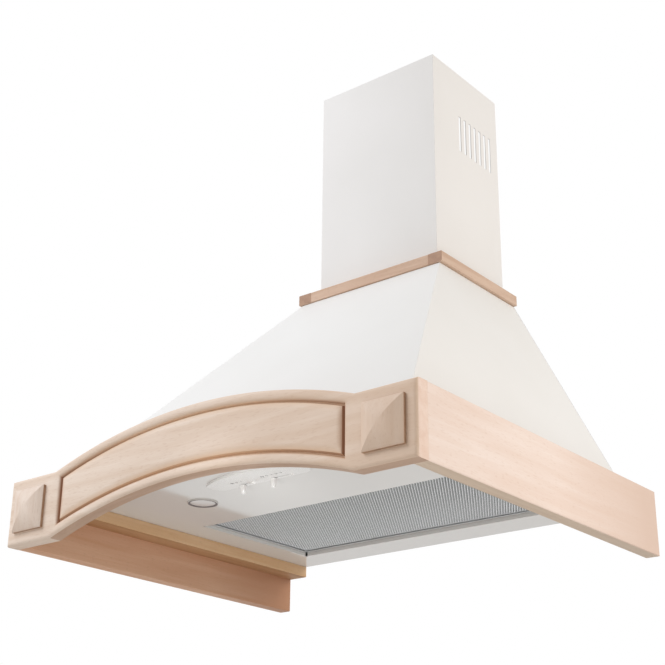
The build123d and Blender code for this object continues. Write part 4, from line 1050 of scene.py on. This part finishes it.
# Floor paint: an even pale grey, faintly scuffed. It is clear from below, so that a view from under the floor
# still shows the hood.
floor_finish, tree, place = new_finish("studio_floor_paint")
scuff = add(tree, "ShaderNodeTexNoise", {"Vector": place, "Scale": 1 / SCUFF, "Detail": 4.0})
tint = add(tree, "ShaderNodeMix", {
    SHARE: scuff.outputs[0], FIRST: linear("#d0cecb"), SECOND: linear("#cac8c5")}, data_type="RGBA")
shader = add(tree, "ShaderNodeBsdfPrincipled", {"Base Color": tint.outputs[MIXED], "Roughness": 0.7})
below = add(tree, "ShaderNodeNewGeometry").outputs["Backfacing"]
clear = add(tree, "ShaderNodeBsdfTransparent")
sheet = add(tree, "ShaderNodeMixShader", {0: below, 1: shader.outputs[0], 2: clear.outputs[0]})
add(tree, "ShaderNodeOutputMaterial", {"Surface": sheet.outputs[0]})
floor_mesh.materials.append(floor_finish)
floor = bpy.data.objects.new("studio_floor", floor_mesh)
scene.collection.objects.link(floor)

# The surround is plain white where it is seen, mirrored or looked at through glass, and lights more weakly.
world = bpy.data.worlds.new("white_surround")
scene.world = world
world.use_nodes = True
tree = world.node_tree
tree.nodes.clear()
path = add(tree, "ShaderNodeLightPath").outputs
direct = add(tree, "ShaderNodeMath", {
    0: path["Is Camera Ray"], 1: path["Is Glossy Ray"]}, operation="MAXIMUM")
seen = add(tree, "ShaderNodeMath", {
    0: direct.outputs[0], 1: path["Is Transmission Ray"]}, operation="MAXIMUM")
soft = add(tree, "ShaderNodeBackground", {"Color": linear("#fffaf4"), "Strength": 0.38})
white = add(tree, "ShaderNodeBackground", {"Color": linear("#ffffff"), "Strength": 1.0})
both = add(tree, "ShaderNodeMixShader", {0: seen.outputs[0], 1: soft.outputs[0], 2: white.outputs[0]})
add(tree, "ShaderNodeOutputWorld", {"Surface": both.outputs[0]})


def hang(light, place, target):
    """Hangs a lamp at a place and points it at a target."""
    carrier = bpy.data.objects.new(light.name, light)
    carrier.location = place
    carrier.rotation_euler = (Vector(target) - Vector(place)).to_track_quat("-Z", "Y").to_euler()
    scene.collection.objects.link(carrier)


for name, place, target, size, power, code in SOFT_BOXES:
    box = bpy.data.lights.new(name, "AREA")
    box.size = size
    box.energy = power
    box.color = linear(code)[:3]
    hang(box, place, target)
spot = bpy.data.lights.new("controls_spot", "SPOT")
spot.energy = SPOT_POWER
spot.spot_size = SPOT_CONE
spot.spot_blend = SPOT_BLEND
spot.shadow_soft_size = SPOT_RADIUS
hang(spot, SPOT_AT, SPOT_TARGET)

# Camera.
# It stands at the photograph's place: low, to the right of the hood, looking up under the front board. Its
# yaw, pitch, roll and lens were fitted to the edges of the frame.
CAMERA_AT = Vector((0.98595, -1.47595, -0.70453))
CAMERA_YAW = radians(38.972)
CAMERA_PITCH = radians(22.708)
CAMERA_ROLL = radians(0.604)
CAMERA_LENS = 72.35
CAMERA_SENSOR = 36.0
CAMERA_REACH = 50.0

camera_data = bpy.data.cameras.new("photo_camera")
camera_data.sensor_width = CAMERA_SENSOR
camera_data.lens = CAMERA_LENS
camera_data.clip_end = CAMERA_REACH
camera = bpy.data.objects.new("photo_camera", camera_data)
ahead = Vector((
    -sin(CAMERA_YAW) * cos(CAMERA_PITCH), cos(CAMERA_YAW) * cos(CAMERA_PITCH), sin(CAMERA_PITCH)))
level_right = Vector((cos(CAMERA_YAW), sin(CAMERA_YAW), 0))
level_up = level_right.cross(ahead)
right = cos(CAMERA_ROLL) * level_right + sin(CAMERA_ROLL) * level_up
up = -sin(CAMERA_ROLL) * level_right + cos(CAMERA_ROLL) * level_up
turn = Matrix((right, up, -ahead)).transposed().to_4x4()
camera.matrix_world = Matrix.Translation(CAMERA_AT) @ turn
scene.collection.objects.link(camera)
bpy.context.scene.camera = camera
